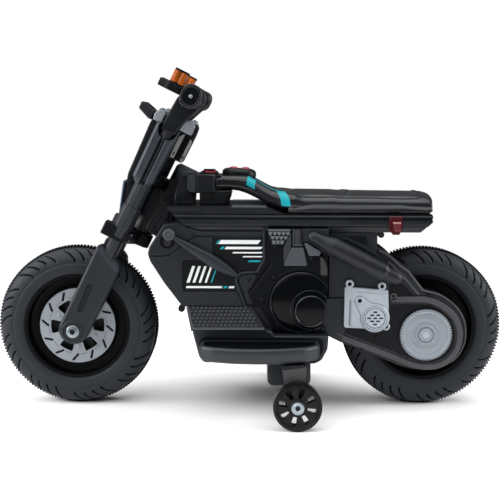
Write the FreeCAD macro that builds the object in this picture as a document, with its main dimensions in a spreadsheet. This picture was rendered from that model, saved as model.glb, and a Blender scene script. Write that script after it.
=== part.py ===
import FreeCAD, Part
import math
import os
import Sketcher

V = FreeCAD.Vector
doc = FreeCAD.newDocument("motorbike")
sheet = doc.addObject("Spreadsheet::Sheet", "dims")

# ---------------------------------------------------------------- sizes (mm)
SIZES = dict(
    wheel_x=341.5, wheel_z=158.0, rake=26.0,
    axle_rad=5.0, axle_bore=5.05, axle_clear=5.1, axle_half=92.0, rear_half=93.0,
    disc_rad=75.0, disc_hole=28.0, disc_in=24.2, disc_thick=3.0,
    leg_in=48.0, leg_out=84.0, tube_rad=14.0, tube_hole=14.1, tube_y=68.0, tube_b=1.0,
    tube_low=120.0, tube_top=436.0, leg_bore_low=118.0, leg_bore_top=190.0,
    crown_low=197.0, crown_top=223.0, stem_b=-32.0, stem_rad=12.0, stem_hole=12.06,
    stem_fit=12.1, stem_low=198.0, stem_top=336.0,
    head_low=226.0, head_top=317.0, head_rad=22.0, gusset_half=20.0,
    brk_low=320.0, brk_top=336.0, shroud_in=46.0, shroud_out=90.0,
    col_low=340.5, col_top=436.5, mask_half=44.0, lens_half=46.0,
    clamp_half=52.0, riser_in=52.5, riser_out=86.0,
    bar_rad=11.0, bar_fit=11.1, bar_half=226.0, bar_b=-18.0, bar_s=506.0,
    lever_low=498.0, lever_top=513.0, lamp_low=513.2, lamp_top=541.0,
    display_half=40.0, nut_rad=11.0, nut_high=6.5, stud_rad=9.0, stud_high=3.4,
    shell_out=95.0, shell_wall=3.5, mid_gap=0.1, rail_out=98.0,
    rail_open=60.0, rail_roof=383.0, rail_floor=340.0,
    neck_half=43.0, arm_half=50.0, root_half=88.0, slot_half=43.5, slot_rear=95.5, slot_front=140.0,
    seat_half=92.0, seat_round=10.0,
    cover_in=95.3, cover_out=106.0, cap_one=112.0, cap_two=117.0,
    cap_one_rad=53.0, cap_one_x=-94.0, cap_one_z=223.0,
    cap_two_rad=32.0, cap_two_x=-115.0, cap_two_z=205.0,
    trim_in=106.2, trim_out=108.5,
    belly_half=95.2, tub_half=124.0, tub_open=118.0, tub_floor=110.0, tub_lid=230.0,
    tread_rear=-44.0, tread_front=114.0,
    foot_in=124.5, foot_out=200.0, foot_low=123.0, foot_top=153.0, foot_floor=147.0,
    foot_round=14.0, well_in=138.0, well_out=192.0,
    battery_long=151.0, battery_wide=65.0, battery_high=94.0, battery_x=-75.0, battery_z=214.0,
    ctrl_long=40.0, ctrl_wide=60.0, ctrl_high=58.0, ctrl_x=-130.0, ctrl_z=230.0,
    speaker_rad=26.0, speaker_in=58.0, speaker_deep=24.0, speaker_x=-222.0, speaker_z=209.0,
    case_in=46.0, case_out=88.0, case_wall=4.0, boss_rad=14.0,
    side_in=88.3, side_out=100.0, gear_disc_rad=50.4, gear_disc_in=88.3,
    gear_disc_out=94.0, gear_disc_hole=13.0,
    muffler_x=-117.8, muffler_y=112.0, muffler_z=347.6, muffler_tilt=115.4,
    lamp_in=98.3, lamp_out=107.0, fender_half=45.5,
    motor_rad=18.0, motor_in=48.0, motor_out=83.0, motor_bore=2.1, motor_deep=7.0,
    gear_module=1.0, gear_teeth=72.0, pinion_teeth=18.0, gear_gap=0.2, gear_thin=0.12,
    gear_in=40.0, gear_out=47.0, collar_rad=30.0, collar_in=8.2, gear_hole=17.2,
    shaft_rad=2.0, shaft_end=53.0,
    block_half=62.0, leg_rear=-108.0, leg_front=-66.0,
    caster_x=-88.0, caster_z=45.0, caster_in=190.0, caster_out=214.0,
    bolt_in=170.0, bolt_head_in=214.4, bolt_head_out=219.0, bolt_head_rad=9.0,
    rod_rad=5.0, rod_y=100.6, rod_cap=11.0, rod_cap_in=95.3, rod_cap_out=106.0,
    pad_half=28.0, button_rad=9.0, button_hole=9.3, button_low=469.6, button_top=476.0,
    button_well=467.0, power_x=33.0, music_x=9.5, fairing_half=24.0,
    rock_half=9.0, rock_well=10.5, rock_rear=64.5, rock_front=92.5, rock_floor=452.0,
    pedal_in=142.0, pedal_out=186.0, screw_rad=3.0, screw_high=1.6,
)

# ------------------------------------------------------------- profiles (mm)
# side profiles are (x, z); revolved ones are (radius, along the axis);
# plan ones are (x, y); cross ones are (y, z). Fork pieces use the fork's own
# frame: x forward of the leg line, z up along the fork, origin on the axle.
PROFILES = dict(
    tyre=[(104, -33), (108, -36), (120, -38), (133, -37.5), (144, -34), (151, -27),
          (156, -16), (158, -6), (158, 6), (156, 16), (151, 27), (144, 34),
          (133, 37.5), (120, 38), (108, 36), (104, 33)],
    rim=[(5.05, -44), (17, -44), (17, -8), (58, -8), (58, -24), (77, -24), (77, -8),
         (97, -8), (98.5, -32.8), (103.9, -32.8), (103.9, 32.8), (98.5, 32.8), (97, 8),
         (77, 8), (77, 24), (58, 24), (58, 8), (17, 8), (17, 44), (5.05, 44)],
    leg=[(26, 2), (24.5, -9), (18, -18), (9, -23), (-2, -24), (-12, -20.5), (-20, -12),
         (-23, 0), (-24, 120), (-21, 150), (-17, 158), (20, 176), (25, 172), (27, 162)],
    crown=[(35, -84), (35, 84), (-14, 84), (-22, 60), (-34, 24), (-50, 18), (-57, 8),
           (-57, -8), (-50, -18), (-34, -24), (-22, -60), (-14, -84)],
    bracket=[(17, -45.5), (17, 45.5), (-14, 45.5), (-36, 14), (-46, 8), (-46, -8),
             (-36, -14), (-14, -45.5)],
    shroud=[(28, 436), (26.5, 323), (15, 312), (-8, 312), (-15, 324), (-19, 436)],
    column=[(25, -40), (25, 40), (-10, 40), (-22, 20), (-31, 9), (-31, -9), (-22, -20),
            (-10, -40)],
    column_rear=[(-14, 381.5), (-30, 380.5), (-46, 387), (-46, 436.5), (-14, 436.5)],
    mask=[(42, 431), (36, 431), (30, 425), (28, 330), (24, 304), (8, 300), (8, 248),
          (14, 242), (17, 243), (34, 303), (38, 317)],
    lens=[(40.5, 302), (21.8, 243.5), (17.4, 242.9), (34.4, 302.9)],
    clamp=[(41, 447), (26, 460), (-42, 455), (-46, 441), (-44, 437.3), (34, 437.3)],
    riser=[(17, 437.3), (13, 492), (8, 508), (2, 518), (-7, 525), (-18, 527.5),
           (-30, 523.5), (-38, 514), (-39.5, 504), (-36, 494), (-20, 455), (-18, 437.3)],
    lever=[(-6.4, 94), (54, 94), (54, 118), (36, 150), (6, 150), (6, 117.5), (-6.4, 117.5)],
    lamp=[(8, 104), (33, 104), (33, 148), (8, 148)],
    display=[(74, 442.5), (73.5, 455.5), (43, 448), (43, 432)],
    grip=[(11.1, 119), (21, 119), (21, 124), (15.5, 127), (15.5, 227), (21.5, 229),
          (21.5, 236), (0, 236), (0, 226.6), (11.1, 226.6)],
    shell=[(164, 368), (191.5, 324.5), (195, 311), (190, 296), (164, 255.5),
           (134.5, 215.5), (125.5, 209.2), (-45.5, 209.2), (-47.5, 161), (-146, 161),
           (-148, 225), (-148, 355), (94.5, 355), (119.5, 362.5), (133, 371.3)],
    gusset=[(-36, 230), (-36, 316), (-55, 300), (-67, 268), (-63.4, 232)],
    neck=[(139, 481.5), (156.5, 450), (146, 440), (148, 401.8), (99.8, 401.8),
          (104.6, 423), (96.8, 464.5)],
    neck_cut_left=[(170, 12), (153, 12), (136, 43.1), (136, 60), (170, 60)],
    neck_cut_right=[(170, -12), (170, -60), (136, -60), (136, -43.1), (153, -12)],
    rail=[(160.5, 400.6), (147.4, 387.9), (132.4, 372.8), (119.2, 363.3), (94.7, 355.6),
          (-332.5, 355.6), (-345.5, 370), (-346, 388.5), (-62, 388.5), (-33, 400.0)],
    arm=[(123.5, 457), (119.5, 461.5), (54, 460), (8, 459), (-1, 455), (-42, 432.3),
         (-70, 428.5), (-70, 391.5), (-57.8, 392.2), (-26.7, 403.5), (0.4, 418.6),
         (25.5, 425), (35, 423), (41, 405), (41, 401.2), (98.5, 401.2), (103, 424),
         (116, 425.2), (122.7, 430)],
    arm_root=[(-6, 452.2), (-42, 432.3), (-70, 428.5), (-70, 391.5), (-57.8, 392.2),
              (-26.7, 403.5), (-6, 415)],
    arm_trim=[(-5, 50), (-5, 100), (-70.5, 100), (-70.5, 88.4)],
    seat=[(-70.4, 390), (-70.4, 429), (-74, 432), (-150, 432), (-179, 430), (-320, 430),
          (-335.6, 427), (-344.4, 415.7), (-345.6, 404.3), (-342.2, 393), (-336.6, 390)],
    engine=[(-39.5, 354.5), (-40.6, 294.4), (-1.2, 241.5), (-50.0, 165.3), (-143.7, 161.5),
            (-147.5, 225.7), (-147.5, 298.6), (-132.3, 310), (-134.8, 318.9),
            (-109.2, 334.9), (-102, 354.5)],
    vent=[(-41, 354), (-76, 354), (-64.2, 331.4), (-41.5, 331.3)],
    plate=[(-77.3, 325.3), (-101.8, 325.4), (-108.7, 291.1), (-64.3, 291)],
    wedge=[(-104, 333.5), (-109.2, 333.8), (-133, 318.5), (-131.2, 312.5), (-109.5, 312.5)],
    belly=[(116, 208.6), (109.2, 170), (96, 118.5), (88, 107), (-124, 105), (-137, 112),
           (-148, 133), (-150, 160.4), (-46.5, 160.4), (-44.5, 208.6)],
    tub=[(109.2, 170), (96, 118.5), (88, 107), (-124, 105), (-137, 112), (-148, 133),
         (-150, 160.4), (-46.5, 160.4), (-46.1, 170)],
    tub_well=[(84, -118), (84, 118), (-118, 118), (-118, -118)],
    upper_well=[(100, -92), (100, 92), (-40, 92), (-40, -92)],
    tread=[(97.3, 170.4), (126, 170.4), (126, 174), (98, 211), (97.3, 211)],
    tread_cut=[(2.0, 244.5), (-46.5, 162.6), (-80, 162.6), (-80, 244.5)],
    foot=[(94, 124.5), (94, 200), (-132, 200), (-132, 124.5)],
    well=[(84, 138), (84, 192), (-122, 192), (-122, 138)],
    case=[(-149, 343), (-151, 222), (-150.6, 165), (-178.3, 137.7), (-215.3, 124),
          (-291.4, 92.7), (-340, 84.9), (-388, 97), (-412, 134.7), (-417.7, 174),
          (-408, 203.4), (-384.3, 226.7), (-357, 236.3), (-334, 238.2), (-326.3, 242),
          (-277, 305.8), (-259.5, 319.2), (-254, 350), (-233, 354.8), (-149, 354.8)],
    side=[(-185, 252), (-263, 246.5), (-264.5, 170.5), (-181.5, 171)],
    muffler=[(0, 0), (9, 0), (12.5, 4), (15, 28), (19, 44), (19.5, 118), (18.7, 119),
             (18.5, 150), (12.5, 154), (12, 180), (8, 184), (0, 184)],
    tail=[(-264.7, 384.5), (-285.4, 384.5), (-284.5, 358), (-282.4, 350.5), (-271, 350.5),
          (-263.4, 358)],
    block=[(-35, 104.4), (-35, 53), (-43, 45), (-112, 45), (-120, 53), (-120, 104.4)],
    outrig=[(62.3, 62), (62.3, 100), (150, 104), (168, 104), (182, 97), (187, 82),
            (187, 34), (175, 34), (173, 76), (160, 85), (100, 76)],
    caster=[(5.05, 190), (14, 190), (14, 194), (33, 194), (33, 190), (43, 190), (45, 192),
            (45, 212), (43, 214), (33, 214), (33, 208), (14, 208), (14, 214), (5.05, 214)],
    caster_gap=[(17.5, -4.2), (30.5, -6.2), (30.5, 6.2), (17.5, 4.2)],
    pad=[(55, 460.7), (54, 468), (49.5, 471.6), (42, 473), (-2, 472), (-8, 469),
         (-11.5, 462), (-11.5, 450.4), (-1.3, 456.0), (7.9, 460.2)],
    rocker=[(67.5, 468), (73.5, 464.8), (83.5, 464.8), (89.5, 468), (89.5, 460),
            (83.5, 456.5), (73.5, 456.5), (67.5, 460)],
    pedal=[(10, 150.2), (10.5, 154.5), (14, 157), (74, 167), (76, 163.5), (18, 153),
           (17, 149), (14, 147.6), (11.5, 148.5)],
)


def inset(points, depth):
    """Polygon moved inwards by depth, corner by corner."""
    n = len(points)
    area = sum(points[i][0] * points[(i + 1) % n][1] - points[(i + 1) % n][0] * points[i][1]
               for i in range(n))
    sign = 1.0 if area > 0 else -1.0
    out = []
    for i in range(n):
        a, b, c = points[i - 1], points[i], points[(i + 1) % n]
        d1 = (b[0] - a[0], b[1] - a[1])
        d2 = (c[0] - b[0], c[1] - b[1])
        l1, l2 = math.hypot(*d1), math.hypot(*d2)
        n1 = (-d1[1] / l1 * sign, d1[0] / l1 * sign)
        n2 = (-d2[1] / l2 * sign, d2[0] / l2 * sign)
        k = 1.0 + n1[0] * n2[0] + n1[1] * n2[1]
        out.append((round(b[0] + depth * (n1[0] + n2[0]) / k, 3),
                    round(b[1] + depth * (n1[1] + n2[1]) / k, 3)))
    return out


PROFILES["shell_hollow"] = inset(PROFILES["shell"], SIZES["shell_wall"])
PROFILES["case_hollow"] = inset(PROFILES["case"], SIZES["case_wall"])

# arc of the rear fender about the rear axle
arc_out = [(-341.5 + 168 * math.cos(math.radians(a)), 158 + 168 * math.sin(math.radians(a)))
           for a in range(28, 71, 6)]
arc_in = [(-341.5 + 164 * math.cos(math.radians(a)), 158 + 164 * math.sin(math.radians(a)))
          for a in range(28, 71, 6)]
PROFILES["fender"] = [(round(x, 3), round(z, 3)) for x, z in arc_out + arc_in[::-1]]

row = 1
for name, value in SIZES.items():
    sheet.set("A%d" % row, name)
    sheet.set("B%d" % row, "%.4f" % value)
    sheet.setAlias("B%d" % row, name)
    row += 1
for key, pts in PROFILES.items():
    for i, (u, w) in enumerate(pts):
        sheet.set("A%d" % row, "%s %d" % (key, i))
        sheet.set("B%d" % row, "%.4f" % u)
        sheet.setAlias("B%d" % row, "%s_u%d" % (key, i))
        sheet.set("C%d" % row, "%.4f" % w)
        sheet.setAlias("C%d" % row, "%s_w%d" % (key, i))
        row += 1
doc.recompute()

EXPORT = []


# ------------------------------------------------------------------- helpers
def new_body(label):
    body = doc.addObject("PartDesign::Body", label)
    body.Label = label
    return body


def plane_of(body, role):
    return [f for f in body.Origin.OriginFeatures if f.Role == role][0]


def expr(value):
    """Alias names become sheet references; a leading minus is kept."""
    if value.startswith("-") and value[1:] in SIZES:
        return "-dims." + value[1:]
    return "dims." + value if value in SIZES else value


def number(value):
    if value.startswith("-") and value[1:] in SIZES:
        return -SIZES[value[1:]]
    return SIZES[value] if value in SIZES else float(value)


def attach(body, sk, role, low, high):
    """Sketch plane such that the pad along the normal fills low..high."""
    sk.AttachmentSupport = [(plane_of(body, role), "")]
    sk.MapMode = "FlatFace"
    if role == "XZ_Plane":
        sk.AttachmentOffset = FreeCAD.Placement(V(0, 0, -number(high)), FreeCAD.Rotation())
        sk.setExpression("AttachmentOffset.Base.z", "-(%s)" % expr(high))
    else:
        sk.AttachmentOffset = FreeCAD.Placement(V(0, 0, number(low)), FreeCAD.Rotation())
        sk.setExpression("AttachmentOffset.Base.z", expr(low))


def draw(sk, key, mirror=False):
    pts = [(u, -w if mirror else w) for u, w in PROFILES[key]]
    n = len(pts)
    sk.addGeometry([Part.LineSegment(V(pts[i][0], pts[i][1], 0),
                                     V(pts[(i + 1) % n][0], pts[(i + 1) % n][1], 0))
                    for i in range(n)], False)
    cons = [Sketcher.Constraint("Coincident", i, 2, (i + 1) % n, 1) for i in range(n)]
    for i, (u, w) in enumerate(pts):
        cons.append(Sketcher.Constraint("DistanceX", -1, 1, i, 1, u))
        cons.append(Sketcher.Constraint("DistanceY", -1, 1, i, 1, w))
    sk.addConstraint(cons)
    for i in range(n):
        sk.renameConstraint(n + 2 * i, "u%d" % i)
        sk.renameConstraint(n + 2 * i + 1, "w%d" % i)
        sk.setExpression("Constraints.u%d" % i, "dims.%s_u%d" % (key, i))
        sk.setExpression("Constraints.w%d" % i,
                         ("-" if mirror else "") + "dims.%s_w%d" % (key, i))


def circle(sk, cx, cy, rad):
    sk.addGeometry(Part.Circle(V(number(cx), number(cy), 0), V(0, 0, 1), number(rad)), False)
    sk.addConstraint([Sketcher.Constraint("DistanceX", -1, 1, 0, 3, number(cx)),
                      Sketcher.Constraint("DistanceY", -1, 1, 0, 3, number(cy)),
                      Sketcher.Constraint("Radius", 0, number(rad))])
    for i, (nm, val) in enumerate((("cx", cx), ("cy", cy), ("ringsize", rad))):
        sk.renameConstraint(i, nm)
        sk.setExpression("Constraints." + nm, expr(val))


def feature(body, kind, role, low, high, key=None, ring=None, mirror=False):
    sk = body.newObject("Sketcher::SketchObject", body.Name + "_sketch")
    attach(body, sk, role, low, high)
    if key:
        draw(sk, key, mirror)
    else:
        circle(sk, *ring)
    f = body.newObject("PartDesign::" + kind, body.Name + "_" + kind)
    f.Profile = sk
    f.Length = number(high) - number(low)
    f.setExpression("Length", "(%s) - (%s)" % (expr(high), expr(low)))
    if kind == "Pocket":
        f.Reversed = True
    sk.Visibility = False
    body.Tip = f
    doc.recompute()
    return f


def pad(body, role, low, high, key=None, ring=None, mirror=False):
    return feature(body, "Pad", role, low, high, key, ring, mirror)


def pocket(body, role, low, high, key=None, ring=None, mirror=False):
    before = body.Shape.Volume
    f = feature(body, "Pocket", role, low, high, key, ring, mirror)
    if not body.Shape.Volume < before - 0.01:
        raise RuntimeError("no material removed from " + body.Label)
    return f


def revolve(body, role, key, mirror=False):
    sk = body.newObject("Sketcher::SketchObject", body.Name + "_sketch")
    sk.AttachmentSupport = [(plane_of(body, role), "")]
    sk.MapMode = "FlatFace"
    draw(sk, key, mirror)
    f = body.newObject("PartDesign::Revolution", body.Name + "_turn")
    f.Profile = sk
    f.ReferenceAxis = (sk, ["V_Axis"])
    f.Angle = 360
    sk.Visibility = False
    body.Tip = f
    doc.recompute()
    return f


def at_wheel(obj, sign):
    obj.Placement = FreeCAD.Placement(V(sign * SIZES["wheel_x"], 0, SIZES["wheel_z"]),
                                      FreeCAD.Rotation())
    obj.setExpression("Placement.Base.x", "%sdims.wheel_x" % ("" if sign > 0 else "-"))
    obj.setExpression("Placement.Base.z", "dims.wheel_z")


def on_fork(obj):
    """Fork frame: origin on the front axle, z leaning back by the rake."""
    obj.Placement = FreeCAD.Placement(V(SIZES["wheel_x"], 0, SIZES["wheel_z"]),
                                      FreeCAD.Rotation(V(0, -1, 0), SIZES["rake"]))
    obj.setExpression("Placement.Base.x", "dims.wheel_x")
    obj.setExpression("Placement.Base.z", "dims.wheel_z")
    obj.setExpression("Placement.Rotation.Angle", "dims.rake")


def fork_point(b, s):
    a = math.radians(SIZES["rake"])
    return (SIZES["wheel_x"] + b * math.cos(a) - s * math.sin(a),
            SIZES["wheel_z"] + b * math.sin(a) + s * math.cos(a))


def cylinder(label, rad, x, z, low, high):
    """Round bar along y from low to high."""
    c = doc.addObject("Part::Cylinder", label)
    c.Label = label
    c.Radius = number(rad)
    c.setExpression("Radius", expr(rad))
    c.Height = number(high) - number(low)
    c.setExpression("Height", "(%s) - (%s)" % (expr(high), expr(low)))
    c.Placement = FreeCAD.Placement(V(x, number(low), z), FreeCAD.Rotation(V(1, 0, 0), -90))
    c.setExpression("Placement.Base.y", expr(low))
    return c


def washer(label, rad, hole, x, z, low, high):
    a = cylinder(label + "_rim", rad, x, z, low, high)
    b = cylinder(label + "_bore", hole, x, z, low, high)
    c = doc.addObject("Part::Cut", label)
    c.Label = label
    c.Base = a
    c.Tool = b
    doc.recompute()
    return c


def group(label, members):
    c = doc.addObject("Part::Compound", label)
    c.Label = label
    c.Links = members
    doc.recompute()
    return c


def keep(obj):
    EXPORT.append(obj)
    return obj


def sides(name):
    """(suffix, low, high) helper for a piece built on both sides."""
    return [(name + "_left", 1), (name + "_right", -1)]


def span(side, inner, outer):
    return (inner, outer) if side > 0 else ("-" + outer, "-" + inner)


# -------------------------------------------------------------------- wheels
for place, sign in (("front", 1), ("rear", -1)):
    tyre = new_body(place + "_tyre")
    revolve(tyre, "XY_Plane", "tyre")
    at_wheel(tyre, sign)
    keep(tyre)
    rim = new_body(place + "_rim")
    revolve(rim, "XY_Plane", "rim")
    at_wheel(rim, sign)
    keep(rim)

fx, fz, rx = SIZES["wheel_x"], SIZES["wheel_z"], -SIZES["wheel_x"]
SIZES["disc_out"] = SIZES["disc_in"] + SIZES["disc_thick"]
keep(group("front_discs", [
    washer("disc_left", "disc_rad", "disc_hole", fx, fz, "24.2", "27.2"),
    washer("disc_right", "disc_rad", "disc_hole", fx, fz, "-27.2", "-24.2")]))
keep(cylinder("front_axle", "axle_rad", fx, fz, "-axle_half", "axle_half"))
keep(cylinder("rear_axle", "axle_rad", rx, fz, "-rear_half", "rear_half"))

# ---------------------------------------------------------------------- fork
pair = []
for label, side in sides("fork_leg"):
    b = new_body(label)
    lo, hi = span(side, "leg_in", "leg_out")
    pad(b, "XZ_Plane", lo, hi, key="leg")
    pocket(b, "XZ_Plane", lo, hi, ring=("0", "0", "axle_clear"))
    pocket(b, "XY_Plane", "leg_bore_low", "leg_bore_top",
           ring=("tube_b", "tube_y" if side > 0 else "-tube_y", "tube_hole"))
    on_fork(b)
    pair.append(b)
keep(group("fork_legs", pair))

tubes = []
for label, side in sides("fork_tube"):
    b = new_body(label)
    pad(b, "XY_Plane", "tube_low", "tube_top",
        ring=("tube_b", "tube_y" if side > 0 else "-tube_y", "tube_rad"))
    on_fork(b)
    tubes.append(b)
keep(group("fork_tubes", tubes))

b = new_body("fork_crown")
pad(b, "XY_Plane", "crown_low", "crown_top", key="crown")
for y in ("tube_y", "-tube_y"):
    pocket(b, "XY_Plane", "crown_low", "crown_top", ring=("tube_b", y, "tube_hole"))
pocket(b, "XY_Plane", "crown_low", "crown_top", ring=("stem_b", "0", "stem_fit"))
on_fork(b)
keep(b)

b = new_body("steering_stem")
pad(b, "XY_Plane", "stem_low", "stem_top", ring=("stem_b", "0", "stem_rad"))
on_fork(b)
keep(b)

b = new_body("upper_bracket")
pad(b, "XY_Plane", "brk_low", "brk_top", key="bracket")
pocket(b, "XY_Plane", "brk_low", "brk_top", ring=("stem_b", "0", "stem_fit"))
on_fork(b)
keep(b)

pair = []
for label, side in sides("fork_shroud"):
    b = new_body(label)
    lo, hi = span(side, "shroud_in", "shroud_out")
    pad(b, "XZ_Plane", lo, hi, key="shroud")
    pocket(b, "XY_Plane", "300", "450",
           ring=("tube_b", "tube_y" if side > 0 else "-tube_y", "tube_hole"))
    on_fork(b)
    pair.append(b)
keep(group("fork_shrouds", pair))

b = new_body("column_cover")
pad(b, "XY_Plane", "col_low", "col_top", key="column")
pad(b, "XZ_Plane", "-fairing_half", "fairing_half", key="column_rear")
on_fork(b)
keep(b)

b = new_body("front_mask")
pad(b, "XZ_Plane", "-mask_half", "mask_half", key="mask")
on_fork(b)
keep(b)

b = new_body("headlight_lens")
pad(b, "XZ_Plane", "-lens_half", "lens_half", key="lens")
on_fork(b)
keep(b)

b = new_body("top_clamp")
pad(b, "XZ_Plane", "-clamp_half", "clamp_half", key="clamp")
on_fork(b)
keep(b)

b = new_body("display")
pad(b, "XZ_Plane", "-display_half", "display_half", key="display")
on_fork(b)
keep(b)

risers = []
for label, side in sides("riser"):
    b = new_body(label)
    lo, hi = span(side, "riser_in", "riser_out")
    pad(b, "XZ_Plane", lo, hi, key="riser")
    pocket(b, "XZ_Plane", lo, hi, ring=("bar_b", "bar_s", "bar_fit"))
    on_fork(b)
    risers.append(b)
gx, gz = fork_point(SIZES["bar_b"], SIZES["bar_s"])
keep(group("handlebar", risers + [cylinder("crossbar", "bar_rad", gx, gz,
                                           "-bar_half", "bar_half")]))

pair = []
for label, side in sides("grip"):
    b = new_body(label)
    revolve(b, "XY_Plane", "grip", mirror=side < 0)
    b.Placement = FreeCAD.Placement(V(gx, 0, gz), FreeCAD.Rotation())
    pair.append(b)
keep(group("grips", pair))

for node, key, lo, hi in (("lever_brackets", "lever", "lever_low", "lever_top"),
                          ("turn_lamps", "lamp", "lamp_low", "lamp_top")):
    pair = []
    for label, side in sides(key):
        b = new_body(label)
        pad(b, "XY_Plane", lo, hi, key=key, mirror=side < 0)
        on_fork(b)
        pair.append(b)
    keep(group(node, pair))

stud = new_body("stem_stud")
pad(stud, "XY_Plane", "336.3", "339.7", ring=("stem_b", "0", "stud_rad"))
on_fork(stud)
keep(group("steering_fasteners", [
    washer("front_nut_left", "nut_rad", "axle_clear", fx, fz, "84.3", "90.8"),
    washer("front_nut_right", "nut_rad", "axle_clear", fx, fz, "-90.8", "-84.3"),
    stud]))

# ------------------------------------------------------------- body and neck
for label, side in sides("body_shell"):
    b = new_body(label)
    lo, hi = span(side, "mid_gap", "shell_out")
    pad(b, "XZ_Plane", lo, hi, key="shell")
    if side > 0:
        pocket(b, "XZ_Plane", "mid_gap", "91.5", key="shell_hollow")
    else:
        pocket(b, "XZ_Plane", "-91.5", "-mid_gap", key="shell_hollow")
    keep(b)

b = new_body("head_tube")
pad(b, "XY_Plane", "head_low", "head_top", ring=("stem_b", "0", "head_rad"))
pad(b, "XZ_Plane", "-gusset_half", "gusset_half", key="gusset")
pocket(b, "XY_Plane", "head_low", "head_top", ring=("stem_b", "0", "stem_hole"))
on_fork(b)
keep(b)

b = new_body("neck_cover")
pad(b, "XZ_Plane", "-neck_half", "neck_half", key="neck")
pocket(b, "XY_Plane", "390", "500", key="neck_cut_left")
pocket(b, "XY_Plane", "390", "500", key="neck_cut_right")
keep(b)

pair = []
for label, side in sides("rail"):
    b = new_body(label)
    lo, hi = span(side, "mid_gap", "rail_out")
    pad(b, "XZ_Plane", lo, hi, key="rail")
    sk = b.newObject("Sketcher::SketchObject", label + "_open")
    attach(b, sk, "YZ_Plane", "-400", "200")
    y0, y1 = (0.0, SIZES["rail_open"]) if side > 0 else (-SIZES["rail_open"], 0.0)
    z0, z1 = SIZES["rail_floor"], SIZES["rail_roof"]
    pts = [(y0, z0), (y1, z0), (y1, z1), (y0, z1)]
    sk.addGeometry([Part.LineSegment(V(p[0], p[1], 0), V(q[0], q[1], 0))
                    for p, q in zip(pts, pts[1:] + pts[:1])], False)
    cut = b.newObject("PartDesign::Pocket", label + "_cut")
    cut.Profile = sk
    cut.Length = 600
    cut.Reversed = True
    sk.Visibility = False
    doc.recompute()
    pair.append(b)
keep(group("seat_rails", pair))

# --------------------------------------------------- arm, controls and seat
b = new_body("tank_arm")
pad(b, "XZ_Plane", "-arm_half", "arm_half", key="arm")
pad(b, "XZ_Plane", "-root_half", "root_half", key="arm_root")
for flip in (False, True):
    pocket(b, "XY_Plane", "380", "470", key="arm_trim", mirror=flip)
sk = b.newObject("Sketcher::SketchObject", "arm_slot")
attach(b, sk, "XY_Plane", "390", "500")
sk.addGeometry([Part.LineSegment(V(*p, 0), V(*q, 0)) for p, q in (
    ((95.5, -43.5), (140, -43.5)), ((140, -43.5), (140, 43.5)),
    ((140, 43.5), (95.5, 43.5)), ((95.5, 43.5), (95.5, -43.5)))], False)
cut = b.newObject("PartDesign::Pocket", "arm_slot_cut")
cut.Profile = sk
cut.Length = 110
cut.Reversed = True
sk.Visibility = False
doc.recompute()
sk = b.newObject("Sketcher::SketchObject", "rocker_well")
attach(b, sk, "XY_Plane", "rock_floor", "480")
x0, x1, yy = SIZES["rock_rear"], SIZES["rock_front"], SIZES["rock_well"]
sk.addGeometry([Part.LineSegment(V(*p, 0), V(*q, 0)) for p, q in (
    ((x0, -yy), (x1, -yy)), ((x1, -yy), (x1, yy)), ((x1, yy), (x0, yy)),
    ((x0, yy), (x0, -yy)))], False)
cut = b.newObject("PartDesign::Pocket", "rocker_well_cut")
cut.Profile = sk
cut.Length = 40
cut.Reversed = True
sk.Visibility = False
doc.recompute()
keep(b)

b = new_body("button_pad")
pad(b, "XZ_Plane", "-pad_half", "pad_half", key="pad")
for x in ("power_x", "music_x"):
    pocket(b, "XY_Plane", "button_well", "480", ring=(x, "0", "button_hole"))
keep(b)
for label, x in (("power_button", "power_x"), ("music_button", "music_x")):
    b = new_body(label)
    pad(b, "XY_Plane", "button_low", "button_top", ring=(x, "0", "button_rad"))
    keep(b)

b = new_body("rocker_switch")
pad(b, "XZ_Plane", "-rock_half", "rock_half", key="rocker")
keep(b)

b = new_body("seat")
base = pad(b, "XZ_Plane", "-seat_half", "seat_half", key="seat")
edges = []
for i, e in enumerate(base.Shape.Edges):
    c = e.BoundBox
    if abs(c.YMax - c.YMin) < 1e-3 and abs(c.ZMin - 430) < 3 and c.XLength > 20:
        edges.append("Edge%d" % (i + 1))
f = b.newObject("PartDesign::Fillet", "seat_round_edge")
f.Base = (base, edges)
f.Radius = SIZES["seat_round"]
f.setExpression("Radius", "dims.seat_round")
b.Tip = f
doc.recompute()
keep(b)

# ------------------------------------------------------ engine covers, trims
pair = []
for label, side in sides("engine_cover"):
    b = new_body(label)
    lo, hi = span(side, "cover_in", "cover_out")
    pad(b, "XZ_Plane", lo, hi, key="engine")
    lo, hi = span(side, "105", "112") if side > 0 else ("-112", "-105")
    pad(b, "XZ_Plane", lo, hi, ring=("cap_one_x", "cap_one_z", "cap_one_rad"))
    lo, hi = span(side, "111", "117") if side > 0 else ("-117", "-111")
    pad(b, "XZ_Plane", lo, hi, ring=("cap_two_x", "cap_two_z", "cap_two_rad"))
    pair.append(b)
keep(group("engine_covers", pair))

for node, keys in (("side_trims", ("vent", "wedge", "plate")),):
    members = []
    for key in keys:
        for label, side in sides(key):
            b = new_body(label)
            lo, hi = span(side, "trim_in", "trim_out")
            pad(b, "XZ_Plane", lo, hi, key=key)
            members.append(b)
    keep(group(node, members))

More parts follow.
